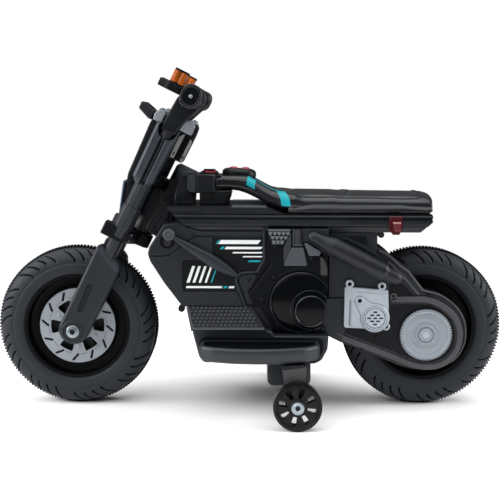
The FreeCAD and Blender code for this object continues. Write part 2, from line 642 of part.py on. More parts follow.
rods = []
for label, side in sides("strut"):
    p0, p1 = V(153.5, 0, 346.5), V(26.0, 0, 272.4)
    d = p1.sub(p0)
    bar = doc.addObject("Part::Cylinder", label + "_rod")
    bar.Radius = SIZES["rod_rad"]
    bar.setExpression("Radius", "dims.rod_rad")
    bar.Height = d.Length
    bar.Placement = FreeCAD.Placement(V(p0.x, side * SIZES["rod_y"], p0.z),
                                      FreeCAD.Rotation(V(0, 0, 1), d))
    lo, hi = span(side, "rod_cap_in", "rod_cap_out")
    c0 = cylinder(label + "_cap_top", "rod_cap", p0.x, p0.z, lo, hi)
    c1 = cylinder(label + "_cap_low", "rod_cap", p1.x, p1.z, lo, hi)
    fuse = doc.addObject("Part::MultiFuse", label)
    fuse.Shapes = [bar, c0, c1]
    rods.append(fuse)
doc.recompute()
keep(group("side_struts", rods))

# ----------------------------------------------------------- belly and feet
b = new_body("belly_pan")
pad(b, "XZ_Plane", "-belly_half", "belly_half", key="belly")
pad(b, "XZ_Plane", "-tub_half", "tub_half", key="tub")
pocket(b, "XY_Plane", "tub_floor", "164", key="tub_well")
pocket(b, "XY_Plane", "tub_floor", "tub_lid", key="upper_well")
keep(b)

pair = []
for label, side in sides("tread"):
    b = new_body(label)
    sk = b.newObject("Sketcher::SketchObject", label + "_sketch")
    attach(b, sk, "YZ_Plane", "tread_rear", "tread_front")
    pts = [(side * u, w) for u, w in PROFILES["tread"]]
    sk.addGeometry([Part.LineSegment(V(p[0], p[1], 0), V(q[0], q[1], 0))
                    for p, q in zip(pts, pts[1:] + pts[:1])], False)
    f = b.newObject("PartDesign::Pad", label + "_pad")
    f.Profile = sk
    f.Length = SIZES["tread_front"] - SIZES["tread_rear"]
    f.setExpression("Length", "dims.tread_front - dims.tread_rear")
    sk.Visibility = False
    doc.recompute()
    lo, hi = ("90", "130") if side > 0 else ("-130", "-90")
    pocket(b, "XZ_Plane", lo, hi, key="tread_cut")
    pair.append(b)
keep(group("tread_plates", pair))

for label, side in sides("footboard"):
    b = new_body(label)
    base = pad(b, "XY_Plane", "foot_low", "foot_top", key="foot", mirror=side < 0)
    edges = ["Edge%d" % (i + 1) for i, e in enumerate(base.Shape.Edges)
             if e.BoundBox.ZLength > 20 and abs(abs(e.BoundBox.YMin) - 200) < 1]
    f = b.newObject("PartDesign::Fillet", label + "_round")
    f.Base = (base, edges)
    f.Radius = SIZES["foot_round"]
    f.setExpression("Radius", "dims.foot_round")
    b.Tip = f
    doc.recompute()
    pocket(b, "XY_Plane", "foot_floor", "foot_top", key="well", mirror=side < 0)
    keep(b)

b = new_body("accelerator_pedal")
pad(b, "XZ_Plane", "-pedal_out", "-pedal_in", key="pedal")
keep(b)

# -------------------------------------------------------------- inner pieces
for label, pre, wide in (("battery", "battery", "battery_wide"), ("control_box", "ctrl", "ctrl_wide")):
    box = doc.addObject("Part::Box", label)
    box.Label = label
    for prop, al in (("Length", pre + "_long"), ("Width", pre + "_wide"), ("Height", pre + "_high")):
        setattr(box, prop, SIZES[al])
        box.setExpression(prop, "dims." + al)
    box.Placement = FreeCAD.Placement(V(SIZES[pre + "_x"], -SIZES[wide] / 2, SIZES[pre + "_z"]),
                                      FreeCAD.Rotation())
    keep(box)
keep(cylinder("speaker", "speaker_rad", SIZES["speaker_x"], SIZES["speaker_z"],
              "speaker_in", "82"))

# --------------------------------------------------------------- rear cases
for label, side in sides("rear_case"):
    b = new_body(label)
    lo, hi = span(side, "case_in", "case_out")
    pad(b, "XZ_Plane", lo, hi, key="case")
    if side > 0:
        pocket(b, "XZ_Plane", "case_in", "84", key="case_hollow")
    else:
        pocket(b, "XZ_Plane", "-84", "-case_in", key="case_hollow")
    pad(b, "XZ_Plane", lo, hi, ring=("-341.5", "158", "boss_rad"))
    pocket(b, "XZ_Plane", lo, hi, ring=("-341.5", "158", "axle_clear"))
    keep(b)

pair = []
for label, side in sides("side_cover"):
    b = new_body(label)
    lo, hi = span(side, "side_in", "side_out")
    pad(b, "XZ_Plane", lo, hi, key="side")
    pair.append(b)
keep(group("side_covers", pair))

keep(group("gear_discs", [
    washer("gear_disc_left", "gear_disc_rad", "gear_disc_hole", rx, fz,
           "gear_disc_in", "gear_disc_out"),
    washer("gear_disc_right", "gear_disc_rad", "gear_disc_hole", rx, fz,
           "-gear_disc_out", "-gear_disc_in")]))

pair = []
for label, side in sides("muffler"):
    b = new_body(label)
    revolve(b, "XZ_Plane", "muffler")
    b.Placement = FreeCAD.Placement(V(SIZES["muffler_x"], side * SIZES["muffler_y"],
                                      SIZES["muffler_z"]),
                                    FreeCAD.Rotation(V(0, -1, 0), SIZES["muffler_tilt"]))
    b.setExpression("Placement.Base.x", "dims.muffler_x")
    b.setExpression("Placement.Base.y", ("" if side > 0 else "-") + "dims.muffler_y")
    b.setExpression("Placement.Base.z", "dims.muffler_z")
    pair.append(b)
keep(group("mufflers", pair))

pair = []
for label, side in sides("tail"):
    b = new_body(label)
    lo, hi = span(side, "lamp_in", "lamp_out")
    pad(b, "XZ_Plane", lo, hi, key="tail")
    pair.append(b)
keep(group("tail_lights", pair))

b = new_body("rear_fender")
pad(b, "XZ_Plane", "-fender_half", "fender_half", key="fender")
keep(b)


# ----------------------------------------------------------- motor and gears
def gear_wire(module, teeth, thin, turn):
    """Closed involute outline, 20 degree pressure angle, tooth thinned by thin."""
    pitch = module * teeth / 2.0
    tip, root = pitch + 0.9 * module, pitch - 1.2 * module
    base = pitch * math.cos(math.radians(20))
    inv = math.tan(math.radians(20)) - math.radians(20)
    half = math.pi / (2 * teeth) - thin / (2 * pitch)
    flank = []
    start = max(base, root)
    for k in range(9):
        rad = start + (tip - start) * k / 8.0
        ang = math.acos(min(1.0, base / rad))
        flank.append((rad, half + inv - (math.tan(ang) - ang)))
    if root < base:
        flank.insert(0, (root, flank[0][1]))
    pts = []
    for i in range(int(teeth)):
        mid = turn + 2 * math.pi * i / teeth
        for rad, off in flank:
            pts.append((rad, mid - off))
        for rad, off in reversed(flank):
            pts.append((rad, mid + off))
    v = [V(rad * math.cos(t), 0, rad * math.sin(t)) for rad, t in pts]
    return Part.makePolygon(v + v[:1])


def read(alias):
    return float(sheet.get(alias))


module, teeth, small = read("gear_module"), read("gear_teeth"), read("pinion_teeth")
centre = module * (teeth + small) / 2.0 + read("gear_gap")
wide = read("gear_out") - read("gear_in")
face = Part.Face(gear_wire(module, teeth, read("gear_thin"), 0.0))
gear = face.extrude(V(0, -wide, 0))
collar = Part.makeCylinder(read("collar_rad"), read("gear_in") - read("collar_in"),
                           V(0, 0, 0), V(0, 1, 0))
gear = gear.fuse(collar)
bore = Part.makeCylinder(read("gear_hole"), 80, V(0, -20, 0), V(0, 1, 0))
gear = gear.cut(bore).removeSplitter()
g = doc.addObject("Part::Feature", "drive_gear")
g.Label = "drive_gear"
g.Shape = gear.Solids[0]
g.Placement = FreeCAD.Placement(V(rx, -read("gear_in"), fz), FreeCAD.Rotation())
keep(g)

face = Part.Face(gear_wire(module, small, read("gear_thin"), math.pi / small))
pin = face.extrude(V(0, -wide, 0))
pin = pin.fuse(Part.makeCylinder(read("shaft_rad"), read("shaft_end") - read("gear_in"),
                                 V(0, 0, 0), V(0, -1, 0))).removeSplitter()
p = doc.addObject("Part::Feature", "motor_pinion")
p.Label = "motor_pinion"
p.Shape = pin.Solids[0]
p.Placement = FreeCAD.Placement(V(rx + centre, -read("gear_in"), fz), FreeCAD.Rotation())
keep(p)

b = new_body("drive_motor")
pad(b, "XZ_Plane", "-motor_out", "-motor_in", ring=("0", "0", "motor_rad"))
pocket(b, "XZ_Plane", "-55", "-motor_in", ring=("0", "0", "motor_bore"))
b.Placement = FreeCAD.Placement(V(rx + centre, 0, fz), FreeCAD.Rotation())
keep(b)

# --------------------------------------------------------------- stabilisers
b = new_body("stabiliser_block")
pad(b, "XZ_Plane", "-block_half", "block_half", key="block")
keep(b)

pair = []
for label, side in sides("stabiliser_leg"):
    b = new_body(label)
    sk = b.newObject("Sketcher::SketchObject", label + "_sketch")
    attach(b, sk, "YZ_Plane", "leg_rear", "leg_front")
    pts = [(side * u, w) for u, w in PROFILES["outrig"]]
    sk.addGeometry([Part.LineSegment(V(p[0], p[1], 0), V(q[0], q[1], 0))
                    for p, q in zip(pts, pts[1:] + pts[:1])], False)
    f = b.newObject("PartDesign::Pad", label + "_pad")
    f.Profile = sk
    f.Length = SIZES["leg_front"] - SIZES["leg_rear"]
    f.setExpression("Length", "dims.leg_front - dims.leg_rear")
    sk.Visibility = False
    doc.recompute()
    lo, hi = span(side, "170", "190") if side > 0 else ("-190", "-170")
    pocket(b, "XZ_Plane", lo, hi, ring=("caster_x", "caster_z", "axle_clear"))
    pair.append(b)
keep(group("stabiliser_legs", pair))

for label, side in sides("stabiliser_wheel"):
    b = new_body(label)
    revolve(b, "XY_Plane", "caster", mirror=side < 0)
    lo, hi = ("185", "220") if side > 0 else ("-220", "-185")
    cut = pocket(b, "XZ_Plane", lo, hi, key="caster_gap")
    pat = b.newObject("PartDesign::PolarPattern", label + "_ring")
    pat.Originals = [cut]
    pat.Axis = ([f for f in b.Origin.OriginFeatures if f.Role == "Y_Axis"][0], [""])
    pat.Angle = 360
    pat.Occurrences = 8
    b.Tip = pat
    b.Placement = FreeCAD.Placement(V(SIZES["caster_x"], 0, SIZES["caster_z"]), FreeCAD.Rotation())
    b.setExpression("Placement.Base.x", "dims.caster_x")
    b.setExpression("Placement.Base.z", "dims.caster_z")
    doc.recompute()
    keep(b)

# ---------------------------------------------------------------- fasteners
bolts = [washer("rear_nut_left", "nut_rad", "axle_clear", rx, fz, "88.3", "94.5"),
         washer("rear_nut_right", "nut_rad", "axle_clear", rx, fz, "-94.5", "-88.3")]
cx, cz = SIZES["caster_x"], SIZES["caster_z"]
for label, side in sides("caster_bolt"):
    lo, hi = ("170", "215") if side > 0 else ("-215", "-170")
    pin = cylinder(label + "_pin", "axle_rad", cx, cz, lo, hi)
    lo, hi = span(side, "bolt_head_in", "bolt_head_out")
    head = cylinder(label + "_head", "bolt_head_rad", cx, cz, lo, hi)
    fuse = doc.addObject("Part::MultiFuse", label)
    fuse.Shapes = [pin, head]
    bolts.append(fuse)

screws = []
for label, side in sides("cover_screw"):
    for i, (x, z) in enumerate(((-50, 176), (-139, 169), (-137, 296), (-13, 243))):
        lo, hi = ("106.1", "107.7") if side > 0 else ("-107.7", "-106.1")
        screws.append(cylinder("%s_%d" % (label, i), "screw_rad", x, z, lo, hi))
doc.recompute()
keep(group("body_fasteners", bolts + screws))

# -------------------------------------------------------------------- export
doc.recompute()
bad = [o.Name for o in doc.Objects if "Invalid" in o.State or "Error" in o.State]
if bad:
    raise RuntimeError("objects in error: " + ", ".join(bad))
os.makedirs("parts", exist_ok=True)
for o in EXPORT:
    s = o.Shape
    if s.isNull() or not s.isValid():
        raise RuntimeError("bad shape: " + o.Label)
    s.exportStep("parts/%s.step" % o.Label)
    print("%-24s solids %2d  volume %9.1f cm3  box %s" % (
        o.Label, len(s.Solids), s.Volume / 1000.0,
        " ".join("%.1f" % v for v in (s.BoundBox.XMin, s.BoundBox.XMax, s.BoundBox.YMin,
                                      s.BoundBox.YMax, s.BoundBox.ZMin, s.BoundBox.ZMax))))
print(len(EXPORT), "pieces")
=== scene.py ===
"""Looks of the small electric motorbike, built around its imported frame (metres)."""
import math

import bmesh
import bpy
import numpy as np
from mathutils import Euler, Matrix, Vector


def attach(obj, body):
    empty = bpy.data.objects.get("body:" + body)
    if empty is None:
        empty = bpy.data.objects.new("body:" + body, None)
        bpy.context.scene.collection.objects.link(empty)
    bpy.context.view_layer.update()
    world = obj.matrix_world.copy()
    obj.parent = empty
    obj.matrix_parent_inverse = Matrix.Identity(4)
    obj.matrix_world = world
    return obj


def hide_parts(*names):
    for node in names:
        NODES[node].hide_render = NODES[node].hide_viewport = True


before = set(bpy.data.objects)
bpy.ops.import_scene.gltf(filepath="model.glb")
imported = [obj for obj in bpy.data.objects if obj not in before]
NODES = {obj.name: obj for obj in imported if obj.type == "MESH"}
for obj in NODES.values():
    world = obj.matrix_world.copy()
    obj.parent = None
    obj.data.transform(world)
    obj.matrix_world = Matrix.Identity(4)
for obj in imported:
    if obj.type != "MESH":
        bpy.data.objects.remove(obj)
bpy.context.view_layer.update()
MM = 0.001
PI = math.pi


# ------------------------------------------------------------------ geometry
def fillet(pts, r, n=4):
    """Polygon with rounded corners; r is one radius or one per corner."""
    out = []
    m = len(pts)
    for i in range(m):
        rad = r[i] if isinstance(r, (list, tuple)) else r
        a, b, c = Vector(pts[i - 1]), Vector(pts[i]), Vector(pts[(i + 1) % m])
        u, v = a - b, c - b
        lu, lv = u.length, v.length
        if lu < 1e-6 or lv < 1e-6:
            continue
        u /= lu
        v /= lv
        ang = math.acos(max(-1, min(1, u.dot(v))))
        if rad <= 0 or ang > math.radians(175):
            out.append((b.x, b.y))
            continue
        t = min(rad / math.tan(ang / 2), lu * 0.48, lv * 0.48)
        rr = t * math.tan(ang / 2)
        cen = b + (u + v).normalized() * (rr / math.sin(ang / 2))
        p0, p1 = b + u * t, b + v * t
        a0 = math.atan2(p0.y - cen.y, p0.x - cen.x)
        a1 = math.atan2(p1.y - cen.y, p1.x - cen.x)
        d = (a1 - a0 + PI) % (2 * PI) - PI
        k = max(2, int(math.ceil(n * abs(d) / (PI / 2))))
        for j in range(k + 1):
            w = a0 + d * j / k
            out.append((cen.x + rr * math.cos(w), cen.y + rr * math.sin(w)))
    return out


def meet(a, b, c, d):
    """Where the lines a-b and c-d cross."""
    u = (b[0] - a[0], b[1] - a[1])
    v = (d[0] - c[0], d[1] - c[1])
    den = u[0] * v[1] - u[1] * v[0]
    if abs(den) < 1e-9:
        return None
    k = ((c[0] - a[0]) * v[1] - (c[1] - a[1]) * v[0]) / den
    return (a[0] + u[0] * k, a[1] + u[1] * k)


def offset(pts, d):
    """Polygon moved inwards by d; corners that would turn over are drawn to a point."""
    if abs(d) < 1e-9:
        return list(pts)
    m = len(pts)
    area = sum(pts[i - 1][0] * pts[i][1] - pts[i][0] * pts[i - 1][1] for i in range(m))
    sg = 1 if area > 0 else -1
    out = []
    for i in range(m):
        a, b, c = pts[i - 1], pts[i], pts[(i + 1) % m]
        e1 = Vector((b[0] - a[0], b[1] - a[1]))
        e2 = Vector((c[0] - b[0], c[1] - b[1]))
        if e1.length < 1e-9 or e2.length < 1e-9:
            e1 = e2 if e1.length < 1e-9 else e1
            e2 = e1 if e2.length < 1e-9 else e2
        e1.normalize()
        e2.normalize()
        n1 = Vector((-e1.y, e1.x)) * sg
        n2 = Vector((-e2.y, e2.x)) * sg
        mid = n1 + n2
        if mid.length < 1e-6:
            mid = n1.copy()
        mid.normalize()
        k = 1 / max(0.4, mid.dot(n1))
        out.append((b[0] + mid.x * d * k, b[1] + mid.y * d * k))
    for _ in range(3):
        good = []
        for i in range(m):
            j = (i + 1) % m
            good.append((pts[j][0] - pts[i][0]) * (out[j][0] - out[i][0])
                        + (pts[j][1] - pts[i][1]) * (out[j][1] - out[i][1]) > 1e-12)
        if all(good) or not any(good):
            break
        first = good.index(True)
        i = first
        while i < first + m:
            if good[i % m]:
                i += 1
                continue
            j = i
            while not good[j % m]:
                j += 1
            run = [out[q % m] for q in range(i, j + 1)]
            spot = meet(out[(i - 1) % m], out[i % m], out[j % m], out[(j + 1) % m])
            mean = (sum(q[0] for q in run) / len(run), sum(q[1] for q in run) / len(run))
            if spot is None or math.hypot(spot[0] - mean[0], spot[1] - mean[1]) > 3 * abs(d) + 1:
                spot = mean
            for q in range(i, j + 1):
                out[q % m] = spot
            i = j
    return out


def ring(cx, cz, r, n=48, a0=0.0, a1=2 * PI, close=True):
    k = n if close else n + 1
    return [(cx + r * math.cos(a0 + (a1 - a0) * i / n),
             cz + r * math.sin(a0 + (a1 - a0) * i / n)) for i in range(k)]


def smooth_line(pts, per=6):
    """Catmull-Rom points through the given ones."""
    p = [Vector(q) for q in pts]
    p = [p[0] * 2 - p[1]] + p + [p[-1] * 2 - p[-2]]
    out = []
    for i in range(1, len(p) - 2):
        for j in range(per):
            t = j / per
            a, b, c, d = p[i - 1], p[i], p[i + 1], p[i + 2]
            out.append(0.5 * ((2 * b) + (c - a) * t + (2 * a - 5 * b + 4 * c - d) * t * t
                              + (3 * b - a - 3 * c + d) * t ** 3))
    out.append(p[-2])
    return [tuple(q) for q in out]


def strip(path, left, right):
    """Closed polygon along an open path, left and right of it."""
    m = len(path)
    a, b = [], []
    for i in range(m):
        p = Vector(path[i])
        d1 = (p - Vector(path[i - 1])).normalized() if i else None
        d2 = (Vector(path[i + 1]) - p).normalized() if i < m - 1 else None
        if d1 is None:
            d1 = d2
        if d2 is None:
            d2 = d1
        n1 = Vector((-d1.y, d1.x))
        n2 = Vector((-d2.y, d2.x))
        mid = (n1 + n2).normalized()
        k = 1 / max(0.5, mid.dot(n1))
        a.append(tuple(p + mid * left * k))
        b.append(tuple(p - mid * right * k))
    return a + b[::-1]


def lerp(x, xs, ys):
    return float(np.interp(x, xs, ys))


RAKE = math.radians(26)
CB, SB = math.cos(RAKE), math.sin(RAKE)


def FORK(p):
    b, y, t = p
    return (341.5 + b * CB - t * SB, y, 158 + b * SB + t * CB)


def SHIFT(x, y, z):
    return lambda p: (p[0] + x, p[1] + y, p[2] + z)


def FRAME(origin, ex, ey, ez):
    o, ex, ey, ez = Vector(origin), Vector(ex), Vector(ey), Vector(ez)
    return lambda p: tuple(o + ex * p[0] + ey * p[1] + ez * p[2])


class Acc:
    """Gathers closed shapes, in millimetres, for one piece."""

    def __init__(self):
        self.v, self.f, self.m = [], [], []

    def add(self, verts, faces, mat=0, tf=None):
        k = len(self.v)
        self.v += [tf(p) for p in verts] if tf else list(verts)
        self.f += [tuple(i + k for i in f) for f in faces]
        self.m += [mat] * len(faces)
        return self

    def loft(self, rings, mat=0, tf=None, caps=True, closed=True):
        n = len(rings[0])
        verts = [p for r in rings for p in r]
        faces = []
        for k in range(len(rings) - 1):
            for i in range(n if closed else n - 1):
                j = (i + 1) % n
                faces.append((k * n + i, k * n + j, (k + 1) * n + j, (k + 1) * n + i))
        if caps:
            faces.append(tuple(range(n))[::-1])
            faces.append(tuple((len(rings) - 1) * n + i for i in range(n)))
        return self.add(verts, faces, mat, tf)

    def slab(self, pts, lo, hi, axis="Y", edge=1.5, lo_edge=None, seg=3, mat=0, tf=None):
        e0 = edge if lo_edge is None else lo_edge
        lay = []
        if e0 > 0:
            for j in range(seg + 1):
                w = PI / 2 * j / seg
                lay.append((e0 * (1 - math.sin(w)), lo + e0 * (1 - math.cos(w))))
        else:
            lay.append((0, lo))
        if edge > 0:
            for j in range(seg, -1, -1):
                w = PI / 2 * j / seg
                lay.append((edge * (1 - math.sin(w)), hi - edge * (1 - math.cos(w))))
        else:
            lay.append((0, hi))
        put = {"Y": lambda p, s: (p[0], s, p[1]), "X": lambda p, s: (s, p[0], p[1]),
               "Z": lambda p, s: (p[0], p[1], s)}[axis]
        return self.loft([[put(p, s) for p in offset(pts, o)] for o, s in lay], mat, tf)

    def lathe(self, prof, n=64, mat=0, tf=None, loop=True, wave=None):
        """Turns (radius, along) about the local Y axis."""
        verts, rows = [], []
        for r, s in prof:
            if r < 1e-6:
                rows.append([len(verts)] * n)
                verts.append((0, s, 0))
            else:
                rows.append(list(range(len(verts), len(verts) + n)))
                for i in range(n):
                    a = 2 * PI * i / n
                    rr = r + (wave(r, s, i) if wave else 0)
                    verts.append((rr * math.cos(a), s, rr * math.sin(a)))
        faces = []
        pairs = list(zip(rows[:-1], rows[1:]))
        if loop:
            pairs.append((rows[-1], rows[0]))
        for a, b in pairs:
            for i in range(n):
                j = (i + 1) % n
                f = []
                for q in (a[i], a[j], b[j], b[i]):
                    if q not in f:
                        f.append(q)
                if len(f) > 2:
                    faces.append(tuple(f))
        return self.add(verts, faces, mat, tf)

    def tube(self, path, rad, n=12, mat=0, tf=None, flat=1.0):
        path = [Vector(p) for p in path]
        rads = rad if isinstance(rad, (list, tuple)) else [rad] * len(path)
        rings = []
        up = None
        for i, p in enumerate(path):
            d = (path[min(i + 1, len(path) - 1)] - path[max(i - 1, 0)]).normalized()
            if up is None:
                up = Vector((0, 1, 0)) if abs(d.y) < 0.9 else Vector((0, 0, 1))
            up = (up - d * up.dot(d)).normalized()
            side = d.cross(up)
            rings.append([tuple(p + (up * math.cos(2 * PI * k / n) * flat
                                     + side * math.sin(2 * PI * k / n)) * rads[i])
                          for k in range(n)])
        return self.loft(rings, mat, tf)

    def box(self, x0, x1, y0, y1, z0, z1, edge=0.6, mat=0, tf=None, seg=2):
        return self.slab([(x0, z0), (x1, z0), (x1, z1), (x0, z1)], y0, y1, edge=edge,
                         seg=seg, mat=mat, tf=tf)

    def bolt(self, at, r, h, mat=0, side=1, socket=0.45, n=32, tf=None):
        """Round-headed socket bolt standing on a point, its axis along Y."""
        prof = [(0, h - 2.2), (r * socket, h - 2.2), (r * (socket + 0.04), h - 0.5),
                (r * (socket + 0.14), h), (r - 1.1, h), (r - 0.3, h - 0.5), (r, h - 1.4),
                (r, 0), (0, 0)]
        at = Vector(at)

        def put(p):
            q = (at.x + p[0], at.y + side * p[1], at.z + p[2])
            return tf(q) if tf else q
        return self.lathe(prof, n, mat, put, loop=False)

    def merge(self, other, tf=None):
        k = len(self.v)
        self.v += [tf(p) for p in other.v] if tf else list(other.v)
        self.f += [tuple(i + k for i in f) for f in other.f]
        self.m += list(other.m)
        return self

    def flipped(self):
        a = Acc()
        a.v = [(x, -y, z) for x, y, z in self.v]
        a.f = [f[::-1] for f in self.f]
        a.m = list(self.m)
        return a

    def mirror(self):
        return self.merge(self.flipped())

    def temp(self, name="tmp"):
        me = bpy.data.meshes.new(name)
        me.from_pydata([(x * MM, y * MM, z * MM) for x, y, z in self.v], [], self.f)
        me.polygons.foreach_set("material_index", self.m)
        bm = bmesh.new()
        bm.from_mesh(me)
        bmesh.ops.remove_doubles(bm, verts=bm.verts, dist=2e-7)
        bmesh.ops.recalc_face_normals(bm, faces=bm.faces)
        bmesh.ops.triangulate(bm, faces=[f for f in bm.faces if len(f.verts) > 4])
        bm.to_mesh(me)
        bm.free()
        ob = bpy.data.objects.new(name, me)
        bpy.context.scene.collection.objects.link(ob)
        return ob

    def cut(self, other, op="DIFFERENCE"):
        """Boolean with another Acc; keeps millimetres."""
        a, b = self.temp("cut_a"), other.temp("cut_b")
        for k in range(max(self.m + other.m) + 1):
            for o in (a, b):
                o.data.materials.append(SPARE[k])
        md = a.modifiers.new("cut", "BOOLEAN")
        md.operation, md.object, md.solver = op, b, "EXACT"
        dg = bpy.context.evaluated_depsgraph_get()
        me = a.evaluated_get(dg).to_mesh()
        self.v = [tuple(c / MM for c in v.co) for v in me.vertices]
        self.f = [tuple(p.vertices) for p in me.polygons]
        self.m = [p.material_index for p in me.polygons]
        a.evaluated_get(dg).to_mesh_clear()
        for o in (a, b):
            me = o.data
            bpy.data.objects.remove(o)
            bpy.data.meshes.remove(me)
        return self


SPARE = [bpy.data.materials.new("spare%d" % k) for k in range(5)]


def piece(acc, name, mats, body, node=None, sharp=36, weighted=True):
    me = bpy.data.meshes.new(name)
    me.from_pydata([(x * MM, y * MM, z * MM) for x, y, z in acc.v], [], acc.f)
    for m in mats if isinstance(mats, (list, tuple)) else [mats]:
        me.materials.append(m)
    me.polygons.foreach_set("material_index", acc.m)
    bm = bmesh.new()
    bm.from_mesh(me)
    bmesh.ops.remove_doubles(bm, verts=bm.verts, dist=2e-7)
    bmesh.ops.recalc_face_normals(bm, faces=bm.faces)
    bmesh.ops.triangulate(bm, faces=[f for f in bm.faces if len(f.verts) > 4])
    bm.to_mesh(me)
    bm.free()
    me.polygons.foreach_set("use_smooth", [True] * len(me.polygons))
    me.set_sharp_from_angle(angle=math.radians(sharp))
    ob = bpy.data.objects.new(name, me)
    bpy.context.scene.collection.objects.link(ob)
    if weighted:
        md = ob.modifiers.new("weighted", "WEIGHTED_NORMAL")
        md.keep_sharp = True
        md.weight = 70
    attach(ob, body)
    if node:
        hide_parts(*([node] if isinstance(node, str) else node))
    return ob


# ----------------------------------------------------------------- materials
def links(nt, a, b):
    nt.links.new(a, b)


def mat(name, base, rough=0.5, var=0.12, grain=1600.0, bump=0.25, depth=0.00025, spec=0.3,
        metal=0.0, coat=0.0, coat_rough=0.1, blotch=14.0, spread=0.07, stretch=None,
        sheen=0.0, emit=None, trans=0.0, ior=None, fleck=0.0, voronoi=False):
    """Moulded or painted finish: mottled colour, uneven gloss and a fine grain."""
    m = bpy.data.materials.new(name)
    m.use_nodes = True
    nt = m.node_tree
    bs = nt.nodes["Principled BSDF"]
    tc = nt.nodes.new("ShaderNodeTexCoord")
    co = tc.outputs["Object"]
    if stretch:
        mp = nt.nodes.new("ShaderNodeMapping")
        mp.inputs["Rotation"].default_value = stretch[0]
        mp.inputs["Scale"].default_value = stretch[1]
        links(nt, co, mp.inputs["Vector"])
        gco = mp.outputs["Vector"]
    else:
        gco = co
    big = nt.nodes.new("ShaderNodeTexNoise")
    big.inputs["Scale"].default_value = blotch
    big.inputs["Detail"].default_value = 4.0
    links(nt, co, big.inputs["Vector"])
    fine = nt.nodes.new("ShaderNodeTexVoronoi" if voronoi else "ShaderNodeTexNoise")
    fine.inputs["Scale"].default_value = grain
    if not voronoi:
        fine.inputs["Detail"].default_value = 3.0
    links(nt, gco, fine.inputs["Vector"])
    fout = fine.outputs["Distance" if voronoi else "Fac"]
    ramp = nt.nodes.new("ShaderNodeValToRGB")
    lo = [c * (1 - var) for c in base]
    hi = [c * (1 + var) for c in base]
    ramp.color_ramp.elements[0].position = 0.32
    ramp.color_ramp.elements[0].color = (*lo, 1)
    ramp.color_ramp.elements[1].position = 0.68
    ramp.color_ramp.elements[1].color = (*hi, 1)
    links(nt, big.outputs["Fac"], ramp.inputs["Fac"])
    colour = ramp.outputs["Color"]
    if fleck > 0:
        mix = nt.nodes.new("ShaderNodeMix")
        mix.data_type = "RGBA"
        mix.blend_type = "MULTIPLY"
        mix.inputs["Factor"].default_value = 1.0
        fr = nt.nodes.new("ShaderNodeMapRange")
        fr.inputs["From Min"].default_value = 0.3
        fr.inputs["From Max"].default_value = 0.7
        fr.inputs["To Min"].default_value = 1 - fleck
        fr.inputs["To Max"].default_value = 1 + fleck
        links(nt, fout, fr.inputs["Value"])
        links(nt, colour, mix.inputs["A"])
        links(nt, fr.outputs["Result"], mix.inputs["B"])
        colour = mix.outputs["Result"]
    links(nt, colour, bs.inputs["Base Color"])
    rr = nt.nodes.new("ShaderNodeMapRange")
    rr.inputs["From Min"].default_value = 0.3
    rr.inputs["From Max"].default_value = 0.7
    rr.inputs["To Min"].default_value = max(0.02, rough - spread)
    rr.inputs["To Max"].default_value = min(1.0, rough + spread)
    links(nt, big.outputs["Fac"], rr.inputs["Value"])
    links(nt, rr.outputs["Result"], bs.inputs["Roughness"])
    if bump > 0:
        bp = nt.nodes.new("ShaderNodeBump")
        bp.inputs["Strength"].default_value = bump
        bp.inputs["Distance"].default_value = depth
        links(nt, fout, bp.inputs["Height"])
        links(nt, bp.outputs["Normal"], bs.inputs["Normal"])
    bs.inputs["Metallic"].default_value = metal
    bs.inputs["Specular IOR Level"].default_value = spec
    if coat:
        bs.inputs["Coat Weight"].default_value = coat
        bs.inputs["Coat Roughness"].default_value = coat_rough
    if sheen:
        bs.inputs["Sheen Weight"].default_value = sheen
        bs.inputs["Sheen Roughness"].default_value = 0.4
    if emit:
        bs.inputs["Emission Color"].default_value = (*emit[0], 1)
        bs.inputs["Emission Strength"].default_value = emit[1]
    if trans:
        bs.inputs["Transmission Weight"].default_value = trans
    if ior:
        bs.inputs["IOR"].default_value = ior
    return m


BRUSH = ((0.0, -RAKE, 0.0), (1.0, 1.0, 0.03))


def ink(v):
    """Slightly cool black of the given strength."""
    return (0.82 * v, v, 1.32 * v)


M_BODY = mat("body_charcoal", ink(0.0125), rough=0.45, spec=0.28)
M_BODY2 = mat("body_satin", ink(0.0175), rough=0.40, spec=0.32)
M_RAIL = mat("rail_satin", ink(0.0090), rough=0.38, spec=0.34)
# Near-black for lamp caps and lever tops; elsewhere painted shade: dark sheets in slots, holes, channels and gaps.
M_BLACK_SHADE = mat("recess_black_and_painted_shade", ink(0.0032), rough=0.6, spec=0.10)
M_FIELD = mat("panel_field_black", ink(0.0042), rough=0.42, spec=0.16)
M_FRAME = mat("frame_black", ink(0.0070), rough=0.42, spec=0.24)
M_TUBE = mat("fork_tube_black", ink(0.0125), rough=0.40, spec=0.34,
             stretch=BRUSH, grain=900)
M_SHROUD = mat("shroud_charcoal", ink(0.0330), rough=0.44, spec=0.34,
               stretch=BRUSH, grain=700, bump=0.35, fleck=0.10)
M_BAND = mat("case_band_grey", (0.050, 0.050, 0.0555), rough=0.48, spec=0.32, bump=0.3)
M_RUBBER = mat("tyre_rubber", ink(0.0150), rough=0.58, spec=0.30, bump=0.35,
               grain=1200)
